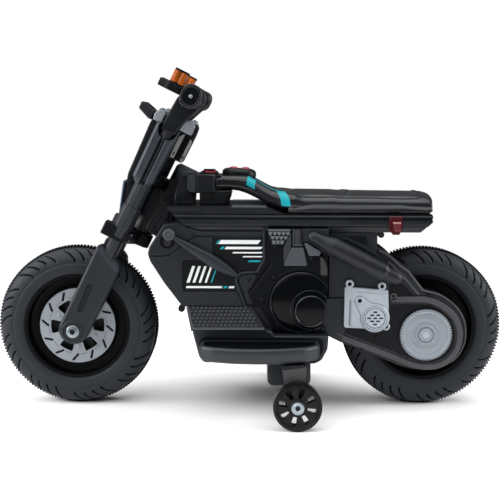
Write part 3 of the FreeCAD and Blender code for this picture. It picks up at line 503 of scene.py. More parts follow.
# Near-black finish for the tyre slashes and tooth gaps: painted shade in the grooves.
M_TREAD_SHADE = mat("tread_groove_painted_shade", ink(0.0028), rough=0.8, spec=0.08, bump=0.3)
M_BLOCK = mat("tread_block", ink(0.0060), rough=0.7, spec=0.16, bump=0.3)
M_GRIP = mat("grip_rubber", ink(0.0110), rough=0.45, spec=0.40, bump=0.4,
             grain=1500)
M_RIM = mat("rim_black", ink(0.0036), rough=0.42, spec=0.18)
M_WELL = mat("rim_well_black", ink(0.0020), rough=0.48, spec=0.09)
M_SILVER = mat("painted_silver", (0.372, 0.412, 0.458), rough=0.42, spec=0.45, metal=0.25,
               grain=2600, fleck=0.10, bump=0.15, var=0.05)
M_DISC = mat("brake_disc_silver", (0.245, 0.268, 0.296), rough=0.44, spec=0.45, metal=0.2,
             grain=2600, fleck=0.14, bump=0.15, var=0.05)
M_HUB = mat("gear_silver", (0.262, 0.292, 0.326), rough=0.44, spec=0.45, metal=0.2,
            grain=2600, fleck=0.12, bump=0.15, var=0.05)
M_CLAMP = mat("clamp_silver", (0.215, 0.238, 0.262), rough=0.42, spec=0.45, metal=0.2,
              grain=2600, fleck=0.12, bump=0.2, var=0.06)
M_STRIP = mat("column_strip", (0.36, 0.36, 0.365), rough=0.5, spec=0.35, var=0.06)
M_GROOVE = mat("silver_shadow", (0.095, 0.106, 0.118), rough=0.55, spec=0.3, metal=0.1,
               grain=2600, fleck=0.1, bump=0.1)
M_STEEL = mat("zinc_steel", (0.30, 0.345, 0.375), rough=0.36, spec=0.5, metal=0.75, grain=1800,
              bump=0.1, var=0.10)
# Dark finish for bolt sockets and the axle ends seen through the nut holes: painted shade.
M_SOCKET_SHADE = mat("socket_painted_shade", (0.006, 0.0085, 0.011), rough=0.5, spec=0.2)
M_GLOSS = mat("engine_gloss", ink(0.0024), rough=0.15, spec=0.10, coat=0.05,
              coat_rough=0.06, bump=0.05, spread=0.03)
M_COVER = mat("engine_cover_black", ink(0.0032), rough=0.38, spec=0.10)
# Lighter, glossier black for thin rings on the dome rims: painted highlights.
M_RIM_HIGHLIGHT = mat("dome_rim_painted_highlight", ink(0.0240), rough=0.20, spec=0.50, bump=0.1)
M_LENS = mat("lens_bar", (0.22, 0.30, 0.42), rough=0.34, spec=0.35, bump=0.1)
M_TRAY = mat("tray_black", ink(0.0150), rough=0.42, spec=0.42)
M_CROWN = mat("crown_black", ink(0.0036), rough=0.45, spec=0.14)
M_MUFF = mat("muffler_black", ink(0.0066), rough=0.42, spec=0.36)
M_VENT = mat("vent_grey", (0.115, 0.128, 0.145), rough=0.48, spec=0.3)
M_BROWN = mat("trim_warm_grey", (0.038, 0.036, 0.034), rough=0.5, spec=0.28)
M_PLATE = mat("leg_plate_grey", (0.046, 0.047, 0.050), rough=0.45, spec=0.35)
M_TRIM = mat("trim_grey", (0.071, 0.081, 0.093), rough=0.48, spec=0.3, grain=1300, bump=0.3)
M_TRIM2 = mat("trim_graphite", (0.054, 0.062, 0.071), rough=0.52, spec=0.28, grain=1300)
M_KNOB = mat("tread_knob_grey", (0.036, 0.040, 0.048), rough=0.55, spec=0.28, grain=1300)
M_PANEL = mat("trim_dark_grey", (0.027, 0.0285, 0.033), rough=0.5, spec=0.28)
M_SEAT = mat("seat_leather", ink(0.0078), rough=0.33, spec=0.42, grain=520,
             bump=0.30, depth=0.0003, voronoi=True, coat=0.18, coat_rough=0.22, sheen=0.0)
M_PIPE = mat("seat_piping", ink(0.0090), rough=0.40, spec=0.4, grain=900)
M_ARM = mat("arm_satin", ink(0.0068), rough=0.27, spec=0.40, coat=0.15,
            coat_rough=0.15)
M_TEAL = mat("band_teal", (0.001, 0.310, 0.365), rough=0.38, spec=0.30, var=0.05)
M_WHITE = mat("print_white", (0.80, 0.81, 0.82), rough=0.45, spec=0.35, var=0.03)
M_AMBER = mat("lamp_amber", (0.50, 0.105, 0.002), rough=0.16, spec=0.4, coat=0.3, var=0.35,
              blotch=45)
M_RED = mat("lamp_red", (0.046, 0.0008, 0.0034), rough=0.22, spec=0.4, coat=0.3, var=0.2,
            blotch=60)
M_RED2 = mat("lamp_window", (0.115, 0.017, 0.021), rough=0.25, spec=0.4, coat=0.3, var=0.2,
             blotch=90)
# Pale pinkish bar on the tail lamp: a painted highlight.
M_LAMP_HIGHLIGHT = mat("lamp_painted_highlight", (0.40, 0.185, 0.165), rough=0.3, spec=0.4, coat=0.2, var=0.1, blotch=90)
M_BUTTON = mat("button_red", (0.36, 0.016, 0.034), rough=0.35, spec=0.45, coat=0.2)
M_BLUE = mat("lens_blue", (0.012, 0.034, 0.062), rough=0.36, spec=0.6, coat=0.05, bump=0.05,
             coat_rough=0.03)
M_GEAR = mat("gear_plastic", (0.30, 0.29, 0.26), rough=0.5, spec=0.4, grain=1400)
M_SCREEN = mat("display_glass", (0.0045, 0.005, 0.006), rough=0.10, spec=0.5, coat=0.4,
               coat_rough=0.04)
# Near-black, almost unglossy rubber for the mats and pedal ribs; on the tray's inner wall it is painted shade.
M_MAT_AND_SHADE = mat("foot_mat_and_painted_shade", ink(0.0026), rough=0.92, spec=0.02, grain=800, bump=0.5)


# -------------------------------------------------------------------- wheels
def tyre(name, sign, body, node):
    half = [(104, 31.8), (104.3, 33.6), (106, 35.5), (109.5, 36.8), (115, 37.8), (120.5, 38),
            (123.8, 37.7), (125.2, 36.8), (126.6, 37.0), (131, 37.1), (136, 36.0),
            (140.5, 34.2), (144.5, 31.9), (147.8, 29.2), (150.2, 26.4), (152.2, 22.8),
            (153.5, 19.2), (154.2, 16.4)]
    fine = smooth_line(half, 2) + [(154.4, 15.2), (154.5, 14.4), (157.4, 13.8), (158, 13.0), (158, 8),
                                   (158, 0)]
    prof = [(r, y) for r, y in fine] + [(r, -y) for r, y in fine[-2::-1]]
    pr = np.array([p[0] for p in prof])
    py = np.array([p[1] for p in prof])
    tr, ty = np.gradient(pr), np.gradient(py)
    ln = np.hypot(tr, ty)
    nr, ny = -ty / ln, tr / ln
    if nr[len(nr) // 2] < 0:
        nr, ny = -nr, -ny
    teeth = 150
    cuts = (0.0, 0.15, 0.30, 0.46, 0.55, 0.67, 0.79, 0.91)
    n = teeth * len(cuts)
    ang = np.array([(k + c) * 2 * PI / teeth for k in range(teeth) for c in cuts])
    R, A = np.meshgrid(pr, ang)
    Y = np.meshgrid(py, ang)[0]
    depth = np.zeros_like(R)
    for g in range(9):
        for off, size in ((0, 1.0), (9, 0.86), (17.8, 0.72), (25.2, 0.8)):
            start = math.radians(g * 40 + off)
            rin = 153.4 - 26.0 * size
            u = (153.4 - R) / (153.4 - rin)
            mid = start + 0.172 * size * (1 - np.clip(1 - u, 0, 1) ** 1.7)
            gap = np.abs((A - mid + PI) % (2 * PI) - PI) * R * 0.74
            wall = np.clip(1.85 - gap / 1.0, 0, 1)
            fade = np.clip(u / 0.05, 0, 1) * np.clip((1 - u) / 0.10, 0, 1)
            depth = np.maximum(depth, 2.6 * wall * fade)
    saw = (A * teeth / (2 * PI) + 1e-9) % 1.0
    gone = np.where(saw > 0.5, 1.0, 0.0)
    strip_zone = (R > 155.0).astype(float)
    RR = R - depth * nr[None, :] - gone * strip_zone * (R - 154.6)
    YY = Y - depth * ny[None, :]
    X = RR * np.cos(A) + 341.5 * sign
    Z = RR * np.sin(A) + 158
    verts = np.stack([X, YY, Z], -1).reshape(-1, 3)
    m = len(prof)
    i, j = np.meshgrid(np.arange(n), np.arange(m), indexing="ij")
    i2, j2 = (i + 1) % n, (j + 1) % m
    faces = np.stack([i * m + j, i2 * m + j, i2 * m + j2, i * m + j2], -1).reshape(-1, 4)
    a = Acc()
    a.v = [tuple(v) for v in verts.tolist()]
    a.f = [tuple(f) for f in faces.tolist()]
    # Groove faces and the pits between the teeth take the near-black groove finish: painted shade.
    low = depth.reshape(-1)[faces].mean(axis=1) > 1.1
    top = R.reshape(-1)[faces].mean(axis=1) > 154.45
    pit = (gone * strip_zone).reshape(-1)[faces].mean(axis=1) > 0.4
    a.m = np.where(low | pit, 1, np.where(top, 2, 0)).tolist()
    return piece(a, name, [M_RUBBER, M_TREAD_SHADE, M_BLOCK], body, node, sharp=40, weighted=False)


def wheel_rim(name, sign, body, node):
    half = [(5.05, 44), (15.6, 44), (17, 42.4), (17, 12), (20, 8.6), (30, 8), (54, 8),
            (57, 9.5), (58, 12), (58, 22.6), (59.4, 24), (75.4, 24), (77, 22.4), (77.6, 12),
            (80, 8.8), (84, 8), (92, 8), (95.5, 9.6), (97, 13), (98.2, 27), (97.4, 30.6),
            (98.2, 32.4), (100, 32.8), (103.9, 32.8)]
    prof = half + [(r, -y) for r, y in half[::-1]]
    a = Acc().lathe(prof, 128, tf=SHIFT(341.5 * sign, 0, 158))
    for i, f in enumerate(a.f):
        r = sum(math.hypot(a.v[k][0] - 341.5 * sign, a.v[k][2] - 158) for k in f) / len(f)
        a.m[i] = 1 if r > 81 else 0
    for s in (1, -1):
        for k in range(5):
            w = 2 * PI * (k + 0.3) / 5
            mid = FRAME((341.5 * sign, 0, 158), (math.cos(w), 0, math.sin(w)), (0, s, 0),
                        (-math.sin(w), 0, math.cos(w)))
            a.slab(fillet([(18, -5), (56, -7.5), (56, 7.5), (18, 5)], 2), 7.6, 13, edge=2,
                   tf=mid)
    return piece(a, name, [M_RIM, M_WELL], body, node, sharp=30)


tyre("front_tyre_skin", 1, "front_wheel", "front_tyre")
tyre("rear_tyre_skin", -1, "rear_wheel", "rear_tyre")
wheel_rim("front_rim_shell", 1, "front_wheel", "front_rim")
wheel_rim("rear_rim_shell", -1, "rear_wheel", "rear_rim")

AT_FRONT = SHIFT(341.5, 0, 158)
disc = Acc().lathe([(28, 24.2), (74.4, 24.2), (75, 24.8), (75, 26.4), (74.4, 27.2),
                    (28.6, 27.2), (28, 26.6)], 160)
holes = Acc()
for k in range(12):
    w = math.radians(4.7 + 30 * k)
    c = Vector((64 * math.cos(w), 0, 64 * math.sin(w)))
    d = Vector((math.cos(w + 0.64), 0, math.sin(w + 0.64)))
    e = Vector((-d.z, 0, d.x))
    holes.slab(fillet([(-9.4, -2.3), (9.4, -2.3), (9.4, 2.3), (-9.4, 2.3)], 2.1, 3), 20, 32,
               edge=0, tf=FRAME(c, d, (0, 1, 0), e))
for k in range(6):
    w = math.radians(-2 + 60 * k)
    d, e = (math.cos(w), 0, math.sin(w)), (-math.sin(w), 0, math.cos(w))
    holes.slab(fillet([(30.5, -9.0), (46, -13.2), (52, -13.6), (53, 0), (52, 13.6), (46, 13.2),
                       (30.5, 9.0)], [2, 1, 2, 0, 2, 1, 2], 3), 20, 32, edge=0,
               tf=FRAME((0, 0, 0), d, (0, 1, 0), e))
disc.cut(holes)
for k in range(12):
    w0 = math.radians(4.7 + 30 * k + 7)
    arc = ring(0, 0, 57.2, 8, w0, w0 + math.radians(15), False)
    disc.slab(strip(arc, 0.55, 0.55), 26.6, 27.5, edge=0.2, seg=1, mat=1)
for k in range(6):
    w = math.radians(28 + 60 * k)
    disc.lathe([(0, 28.3), (2.2, 28.2), (3.4, 27.6), (4.0, 27.0), (4.2, 26.0), (0, 26.0)], 24,
               tf=SHIFT(41 * math.cos(w), 0, 41 * math.sin(w)), loop=False)
discs = Acc().merge(disc, AT_FRONT).mirror()
piece(discs, "brake_discs", [M_DISC, M_GROOVE], "front_wheel", "front_discs",
      sharp=30)


# ---------------------------------------------------------------------- fork
def fork_leg():
    low = [(0.3 + 29.0 * math.cos(PI + PI * k / 24), 25.6 * math.sin(PI + PI * k / 24)) for k in range(25)]
    outline = low + fillet([(29.4, 120), (29.6, 169.5), (22.5, 175.8), (-18, 157.6), (-25, 152.5), (-30.2, 142),
                            (-30.2, 80), (-28.9, 24)], [0, 4, 3, 5, 5, 10, 40, 0], 4)
    a = Acc().slab(outline, 48, 84, edge=8, lo_edge=3, seg=6)
    tools = Acc()
    d = Vector((37, 0, 18)).normalized()
    nrm = Vector((-d.z, 0, d.x))
    tools.loft([[tuple(Vector((1.5, 0, 167.4)) + d * s + nrm * q + Vector((0, y, 0)))
                 for q, y in ((-13.5, 85), (3, 71.5), (3, 85))] for s in (-45, 45)])
    slot = strip([(5.0, 40.5), (8.4, 100)], 5.8, 5.8)
    tools.slab(fillet(slot, 5.6, 5), 81.0, 90, edge=0)
    a.cut(tools)
    # Faces of the top chamfer that turn up and back take the lighter shroud charcoal: a painted highlight where the
    # chamfer catches light.
    for i, f in enumerate(a.f):
        p, q, r = (Vector(a.v[k]) for k in f[:3])
        n = (q - p).cross(r - p)
        if n.length > 1e-9 and n.normalized().y > 0.3 and n.normalized().dot(nrm) > 0.4:
            a.m[i] = 2
    a.slab(fillet(offset(slot, 0.9), 4.8, 5), 78, 81.5, edge=0.4, mat=1)
    a.lathe([(18.2, 83), (18.4, 84.7), (19.4, 85.6), (20.6, 85.6), (21.8, 84.8), (22.4, 83)],
            64, loop=True)
    a.lathe([(0, 84.6), (14.5, 84.6), (16.2, 84.0), (16.8, 82.5), (0, 82.5)], 48, loop=False)
    return a


leg = fork_leg()
piece(Acc().merge(leg, FORK).mirror(), "fork_lower_legs", [M_BODY, M_FRAME, M_SHROUD], "steering",
      "fork_legs", sharp=32)

tubes = Acc()
sect = fillet([(13.6 * math.cos(PI / 5 * k + 0.3), 13.6 * math.sin(PI / 5 * k + 0.3))
               for k in range(10)], 2.2, 3)


def tube_part(t0, t1, scale, edge=0.8):
    tubes.slab([(1 + x * scale, 68 + y * scale) for x, y in sect], t0, t1, axis="Z", edge=edge,
               tf=FORK, seg=2)


tube_part(120, 200, 1.02)
tube_part(204, 268, 1.42, 1.2)
tube_part(262, 436, 1.22)
piece(tubes.mirror(), "fork_stanchions", M_TUBE, "steering", "fork_tubes",
      sharp=28)

crown = Acc()
plan = [(35, -84), (35, -57), (15, -47), (15, 47), (35, 57), (35, 84), (-14, 84), (-22, 60), (-34, 24), (-50, 18), (-57, 8), (-57, -8),
        (-50, -18), (-34, -24), (-22, -60), (-14, -84)]
crown.slab(fillet(plan, 4), 197, 223, axis="Z", edge=1.8, tf=FORK)
for s in (1, -1):
    crown.slab(fillet([(8.5, 200), (32.5, 200), (32.5, 220.5), (8.5, 220.5)], 1.5),
               min(82 * s, 85.4 * s), max(82 * s, 85.4 * s), edge=0.9, tf=FORK)
    crown.slab(fillet([(-11.5, 200), (6.2, 200), (6.2, 220.5), (-11.5, 220.5)], 1.5),
               min(82 * s, 84.4 * s), max(82 * s, 84.4 * s), edge=0.7, tf=FORK)
    for t in (203.5, 216.5):
        crown.tube([FORK((-14, 66 * s, t)), FORK((-22.4, 66 * s, t))], [2.6, 2.3], 16, mat=1)
piece(crown, "fork_crown_block", [M_CROWN, M_GROOVE], "steering", "fork_crown",
      sharp=30)


def shroud():
    a = Acc()

    def section(f, r, y1):
        return [(f - 5, 46), (f, 51), (f, 78), (f - 2.4, y1 - 4.2), (f - 6, y1 - 0.6),
                (10.2, y1), (8.8, y1 - 0.8), (8.0, y1 - 4.4), (3.2, y1 - 4.4), (2.9, y1 - 3.2),
                (0.9, y1 - 3.2), (0.6, y1 - 4.4), (-1.6, y1 - 4.4), (-2.4, y1 - 0.8),
                (-3.6, y1), (r + 7, y1 - 0.8), (r + 2, y1 - 5.4), (r, 79), (r, 51), (r + 5, 46)]
    rings = []
    for t, f, r, y1 in ((312, 14.5, -7.5, 83), (313.2, 16.0, -8.6, 84.6),
                        (322.4, 25.2, -14.2, 89.0), (324.6, 26.5, -15, 90),
                        (380, 27.2, -17, 90), (434.8, 28, -19, 90), (436, 27, -18, 89)):
        rings.append([(b, y, t) for b, y in section(f, r, y1)])
    a.loft(rings)
    bite = Acc()
    notch = [(20.5, 445), (20.5, 428), (18.6, 420.5), (13.6, 414.2), (6, 411), (-4, 411),
             (-11, 414.2), (-15.6, 420.5), (-17, 428), (-17, 445)]
    bite.slab(notch, 62, 99, edge=0)
    a.cut(bite)
    # Dark strips in the side channel and inside the notch: painted shade.
    a.slab(fillet([(7.8, 316), (7.8, 409), (-1.4, 409), (-1.4, 316)], 0.8), 83.4, 86.2, edge=0.3, mat=1)
    a.slab(fillet([(12, 404), (-9, 404), (-14, 433), (17, 433)], 3), 55, 66, edge=0.5, mat=1)
    return a


shr = shroud()
piece(Acc().merge(shr, FORK).mirror(), "fork_upper_shrouds", [M_SHROUD, M_BLACK_SHADE], "steering",
      "fork_shrouds", sharp=24)

col = Acc()
plan = [(25, -45.4), (25, 45.4), (-10, 40), (-22, 20), (-31, 9), (-31, -9), (-22, -20), (-10, -40)]
col.slab(fillet(plan, 3), 340.5, 436.5, axis="Z", edge=1.5, tf=FORK)
rear = [(-14, 379.8), (-30, 379.8), (-46, 380.6), (-47, 440), (-45.6, 455), (-42, 459.6), (-36, 460), (-36, 437),
        (-14, 437)]
col.slab(fillet(rear, [1, 3, 4, 20, 8, 4, 3, 1, 1], 4), -24, 24, edge=1.6, tf=FORK)
for s in (1, -1):
    for line, slot in (([(-18.0, 382), (-26.8, 382.4), (-27.4, 436), (-17.4, 424)], (-23.4, 391)),
                       ([(-39.6, 382.6), (-45.0, 383), (-45.8, 426), (-40.8, 431)], (-42.5, 391.5))):
        col.slab(fillet(line, 1.0), min(s * 23, s * 24.9), max(s * 23, s * 24.9), edge=0.6, tf=FORK, mat=1)
        b, t = slot
        # Dark notch: painted shade.
        col.slab(fillet([(b - 1.3, t - 3.6), (b + 1.3, t - 3.6), (b + 1.3, t + 3.6), (b - 1.3, t + 3.6)], 0.8),
                 min(s * 24, s * 25.2), max(s * 24, s * 25.2), edge=0.2, tf=FORK, mat=2)
    col.slab(fillet([(-29.4, 381.6), (-37.6, 382), (-38.6, 436), (-29.8, 436)], 1.2), min(s * 22, s * 24.6),
             max(s * 22, s * 24.6), edge=0.6, tf=FORK, mat=2)
piece(col, "steering_column_cover", [M_FRAME, M_STRIP, M_BLACK_SHADE], "steering", "column_cover",
      sharp=30)

mask = Acc()
mask.slab(fillet([(42, 435.4), (36, 435.8), (30, 429.5), (28, 330), (24, 304), (8, 300), (8, 248),
                  (14, 242), (17, 243), (34, 303), (38, 317)], [1.5, 1.5, 6, 10, 2, 2, 3, 2, 1,
                                                               6, 14], 4),
          -44, 44, edge=2.2, tf=FORK)
for s in (1, -1):
    mask.slab(fillet([(40.6, 426), (37.4, 318), (39.2, 317), (43.0, 426)], 0.6),
              min(s * 16, s * 34), max(s * 16, s * 34), edge=0.8, tf=FORK)
# Dark slots across the mask: painted shade.
for k in range(5):
    mask.slab(fillet([(38.4 + 0.035 * 18 * k, 332 + 18 * k), (40.4 + 0.035 * 18 * k, 333 + 18 * k),
                      (40.7 + 0.035 * 18 * k, 340 + 18 * k), (38.6 + 0.035 * 18 * k, 341 + 18 * k)],
                     0.6), -13, 13, edge=0.6, tf=FORK, mat=1)
piece(mask, "front_mask_shell", [M_FRAME, M_BLACK_SHADE], "steering", "front_mask",
      sharp=30)

lens = Acc()
lens.slab(fillet([(40.5, 302), (21.8, 243.5), (17.4, 242.9), (34.4, 302.9)], 1.0), -46, 46,
          edge=2.6, tf=FORK)
e1 = Vector((40.5 - 21.8, 0, 302 - 243.5)).normalized()
e2 = Vector((e1.z, 0, -e1.x))
face = FRAME((21.8, 0, 243.5), e1, (0, 1, 0), e2)
for s in (1, -1):
    for k in range(4):
        lens.slab(fillet([(10 + 11.5 * k, -0.5), (18.5 + 11.5 * k, -0.5), (18.5 + 11.5 * k, 0.9),
                          (10 + 11.5 * k, 0.9)], 0.5), min(s * 4, s * 39), max(s * 4, s * 39),
                  edge=0.4, tf=lambda p: FORK(face(p)), mat=1)
piece(lens, "headlight_glass", [M_BLUE, M_LENS], "steering", "headlight_lens",
      sharp=30)

clamp = Acc()
clamp.slab(fillet([(36, 446), (30, 453), (20, 455), (-37, 452), (-40, 446), (-40, 437.3), (33, 437.3)],
                  [3, 4, 8, 4, 3, 2, 2], 4), -52, 52, edge=2.0, tf=FORK)
for s in (1, -1):
    for outline in ([(19.4, 435.4), (36.4, 435.4), (38.4, 446), (35.4, 455), (28, 459.4), (18.8, 459.6)],
                    [(-16.4, 439.4), (-39.6, 438.6), (-41, 456), (-37, 461), (-30, 462.6), (-20.4, 461)]):
        clamp.slab(fillet(outline, [2, 2, 3, 5, 6, 2], 4), min(s * 50, s * 83), max(s * 50, s * 83), edge=2.4,
                   tf=FORK)
    clamp.slab(fillet([(25, 458), (33.6, 455.2), (34.6, 458.4), (30, 462.4), (25.6, 462.4)], 1.5),
               min(s * 56, s * 74), max(s * 56, s * 74), edge=1.2, tf=FORK)
    clamp.slab(fillet([(-25.6, 460.5), (-36, 459), (-35, 464.4), (-26.4, 465)], 1.2),
               min(s * 56, s * 78), max(s * 56, s * 78), edge=1.0, tf=FORK, mat=1)
piece(clamp, "top_clamp_cast", [M_CLAMP, M_SILVER], "steering", "top_clamp",
      sharp=30)

# ------------------------------------------------------------- handlebar area
bar = Acc()
riser = [(16, 425), (16.4, 440), (13, 492), (8, 508), (2, 518), (-7, 525), (-18, 527.5),
         (-30, 523.5), (-38, 514), (-39.5, 504), (-36, 494), (-20, 455), (-16, 440), (-14, 425)]
one = Acc().slab(fillet(riser, [2, 20, 60, 20, 12, 12, 12, 12, 12, 12, 14, 40, 10, 2], 4),
                 52.5, 86, edge=4.0, lo_edge=3.0, seg=4)
dents = Acc()
for b in (-13.5, -21.8):
    dents.slab(fillet([(b - 2.6, 482), (b + 2.4, 483.4), (b + 1.8, 490.5), (b - 1.2, 491.2),
                       (b - 3.6, 488)], 0.9, 3), 83.5, 90, edge=0)
one.cut(dents)
bar.merge(one, FORK)
bar.mirror()
bar.lathe([(0, -118.5), (11, -118.5), (11, 118.5), (0, 118.5)], 40, loop=False,
          tf=SHIFT(103.5, 0, 604.9))
for s in (1, -1):
    bar.lathe([(0, 0), (14.5, 0), (15.5, 1.2), (15.5, 8.8), (14.5, 10), (0, 10)], 40, loop=False,
              tf=FRAME((103.5, 88 * s, 604.9), (1, 0, 0), (0, s, 0), (0, 0, 1)))
piece(bar, "handlebar_risers", M_FRAME, "steering", "handlebar", sharp=30)

gp = [(11.1, 119), (20.2, 119), (21, 119.8), (21, 123.2), (20.2, 124), (17, 124.6), (15.6, 127)]
for k in range(15):
    y = 129 + 6.4 * k
    gp += [(15.0, y), (16.9, y + 0.7), (17.5, y + 2.2), (16.9, y + 3.7), (15.0, y + 4.4)]
gp += [(15.6, 226)]
grip = Acc().lathe(gp + [(16.6, 235), (16.4, 231), (0, 231), (0, 226.6), (11.1, 226.6)], 56,
                   loop=False)


def oval(r, n=56):
    """Flattened end outline, long along the fork."""
    out = []
    for i in range(n):
        a = 2 * PI * i / n
        q = a - PI / 2 - RAKE
        k = (abs(math.cos(q)) ** 2.5 + abs(math.sin(q) / 0.86) ** 2.5) ** (-1 / 2.5)
        out.append((r * k * math.cos(a), r * k * math.sin(a)))
    return out


grip = Acc().lathe(gp + [(14.0, 226.6), (11.1, 226.6)], 56, loop=True)
grip.loft([[(x, y, z) for x, z in oval(r)] for r, y in
           ((16.0, 224.6), (18.6, 226.0), (20.6, 227.6), (21.3, 229.4), (21.5, 231.4), (21.3, 233.8), (20.6, 235.2),
            (19.6, 235.9), (18.9, 235.4), (18.6, 234.2), (18.2, 233.4), (17.6, 233.6), (17.2, 234.6), (16.4, 235.0),
            (15.6, 234.5), (15.2, 233.2), (14.8, 231.8), (6, 231.4))])
# Dark oval inside the end: painted shade in the recess.
grip.slab(oval(15.1), 229.4, 232.2, edge=0.3, mat=1)
grip.lathe([(0, 235.6), (2.0, 235.4), (3.1, 234.5), (3.5, 233), (3.5, 230), (0, 230)], 24, loop=False, mat=2)
grip = Acc().merge(grip, SHIFT(103.5, 0, 604.9)).mirror()
piece(grip, "handle_grips", [M_GRIP, M_BLACK_SHADE, M_STEEL], "steering", "grips",
      sharp=30)

lev = Acc()
plan = [(-6.4, 94), (54, 94), (54, 118), (36, 150), (6, 150), (6, 117.5), (-6.4, 117.5)]
lev.slab(fillet(plan, [2, 3, 6, 10, 6, 3, 2], 4), 498, 513, axis="Z", edge=1.8, tf=FORK)
lev.slab(fillet([(44, 500.5), (10, 500.5), (10, 510.5), (44, 510.5)], 2.5), 92.6, 95,
         edge=0.8, tf=FORK, mat=1)
lev.slab(fillet([(47, 499.6), (52.8, 499.6), (52.8, 511.6), (47, 511.6)], 1.5), 92.4, 95,
         edge=0.8, tf=FORK)
for t in (512.6,):
    lev.slab(fillet([(35, 104), (50, 104), (50, 114), (37, 138)], 3), t, t + 1.8, axis="Z",
             edge=0.7, tf=FORK, mat=1)
piece(lev.mirror(), "lever_mounts", [M_FIELD, M_BLACK_SHADE], "steering", "lever_brackets",
      sharp=30)

lamp = Acc()
rib = fillet([(8.4, 104.4), (32.6, 104.4), (32.6, 145), (8.4, 145)], 3, 4)
lamp.slab(rib, 513.4, 537.6, axis="Z", edge=1.0, tf=FORK)
for y in (104.8, 144.4):
    for c in (14.4, 26.6):
        lobe = [(c + 5.9 * math.cos(2 * PI * k / 28), y + 3.4 * math.sin(2 * PI * k / 28)) for k in range(28)]
        lamp.slab(lobe, 514, 537.4, axis="Z", edge=0.4, tf=FORK)
for k in range(4):
    lobe = [(32.2 + 1.9 * math.cos(2 * PI * q / 20), 110 + 10 * k + 4.8 * math.sin(2 * PI * q / 20)) for q in range(20)]
    lamp.slab(lobe, 514, 537.4, axis="Z", edge=0.4, tf=FORK)
lamp.slab(fillet([(7.6, 103.4), (33.4, 103.4), (33.4, 148), (7.6, 148)], 3.4, 4), 536.8, 541,
          axis="Z", edge=1.2, tf=FORK, mat=1)
lamp.slab(fillet([(7.8, 103.6), (33.2, 103.6), (33.2, 147.8), (7.8, 147.8)], 3.2, 4), 513.2, 516,
          axis="Z", edge=0.8, tf=FORK, mat=1)
piece(lamp.mirror(), "turn_signal_lamps", [M_AMBER, M_BLACK_SHADE], "steering", "turn_lamps",
      sharp=30)

dis = Acc()
dis.slab(fillet([(74.4, 441), (74.4, 455), (70, 456.2), (43, 448.8), (43, 431), (50, 431)],
                [4, 3, 3, 2, 2, 4], 4), -40, 40, edge=3.4, tf=FORK, seg=4)
e1 = Vector((70 - 43, 0, 456.2 - 448.8)).normalized()
e2 = Vector((-e1.z, 0, e1.x))
top = FRAME((43, 0, 448.8), e1, (0, 1, 0), e2)
dis.slab(fillet([(3.5, -0.6), (26.5, -0.6), (26.5, 0.7), (3.5, 0.7)], 0.4), -34, 34, edge=0.6,
         tf=lambda p: FORK(top(p)), mat=1)
for k in range(4):
    dis.slab(fillet([(5.6, 0.4), (24.4, 0.4), (24.4, 1.1), (5.6, 1.1)], 0.3), -29 + 15.5 * k,
             -18 + 15.5 * k, edge=0.3, tf=lambda p: FORK(top(p)), mat=2)
piece(dis, "dash_display", [M_BODY, M_SCREEN, M_FIELD], "steering", "display",
      sharp=30)

nuts = Acc()
for s in (1, -1):
    nuts.lathe([(4.6, 86.2), (5.0, 89.4), (6.6, 91.4), (8.4, 91.0), (9.2, 88.8), (9.6, 87.0), (11.4, 86.8),
                (12.2, 86.2), (12.2, 84.6), (4.6, 84.6)], 48,
               loop=True, tf=FRAME((341.5, 0, 158), (1, 0, 0), (0, s, 0), (0, 0, 1)))
# The rod is dark all over: painted shade where its ends show in the nut holes.
axle = Acc()
axle.lathe([(0, -87.6), (3.2, -87.6), (3.2, -89.2), (4.9, -89.2), (5, -88.4), (5, 88.4), (4.9, 89.2), (3.2, 89.2),
            (3.2, 87.6), (0, 87.6)], 32, loop=False, tf=SHIFT(341.5, 0, 158))
piece(axle, "front_axle_rod", M_SOCKET_SHADE, "steering", "front_axle", sharp=30)
nuts.slab(fillet([(-32 + 9 * math.cos(k * PI / 3), 9 * math.sin(k * PI / 3)) for k in range(6)],
                 0.8), 336.3, 339.7, axis="Z", edge=0.6, tf=FORK)
piece(nuts, "steering_nuts", [M_STEEL, M_SOCKET_SHADE], "steering", "steering_fasteners",
      sharp=30)

# -------------------------------------------------------------- body shells
shell = Acc()
outline = fillet([(164, 368), (191.5, 324.5), (195, 311), (190, 296), (164, 255.5),
                  (134.5, 215.5), (125.5, 209.2), (-45.5, 209.2), (-47.5, 161), (-146, 161),
                  (-148, 225), (-148, 355), (94.5, 355), (119.5, 362.5), (133, 371.3)],
                 [4, 10, 14, 14, 20, 8, 4, 2, 2, 2, 2, 2, 6, 6, 4], 4)
shell.slab(outline, 0.1, 91.6, edge=3.0, lo_edge=0)
lower = [(192.0, 305.2), (171, 305.7), (153.6, 307.3), (133.9, 320.9), (114.9, 336.8),
         (103.9, 343.4), (71.6, 343.4), (71.6, 299.4), (128.4, 299.2), (128.4, 238.4),
         (23.8, 238.8), (10.8, 209.8), (126, 209.8), (134.2, 216.2), (163.6, 256), (189.2, 296.2)]
shell.slab(fillet(lower, [3, 2, 8, 8, 8, 4, 1.5, 1.5, 5, 5, 1.5, 1.5, 3, 6, 14, 8], 4), 90, 95,
           edge=1.6, lo_edge=0)
upper = [(163.2, 366.6), (190.4, 323.6), (193.4, 308.6), (171.6, 308.9), (154.6, 310.4),
         (135.7, 323.4), (117.0, 339.2), (104.8, 346.8), (71, 346.8), (-24.5, 346.8),
         (-24.5, 354.6), (94.2, 354.6), (119, 362), (132.8, 370.6)]
up = Acc().slab(fillet(upper, [4, 8, 3, 2, 8, 8, 8, 4, 0, 1.5, 1.5, 6, 6, 4], 4), 90, 95.4, edge=1.6,
                lo_edge=0)
pocket = strip([(153.4, 350.2), (160.4, 322.5)], 14.0, 14.0)
up.cut(Acc().slab(fillet(pocket, 13.4, 6), 91.8, 99, edge=0))
shell.merge(up)
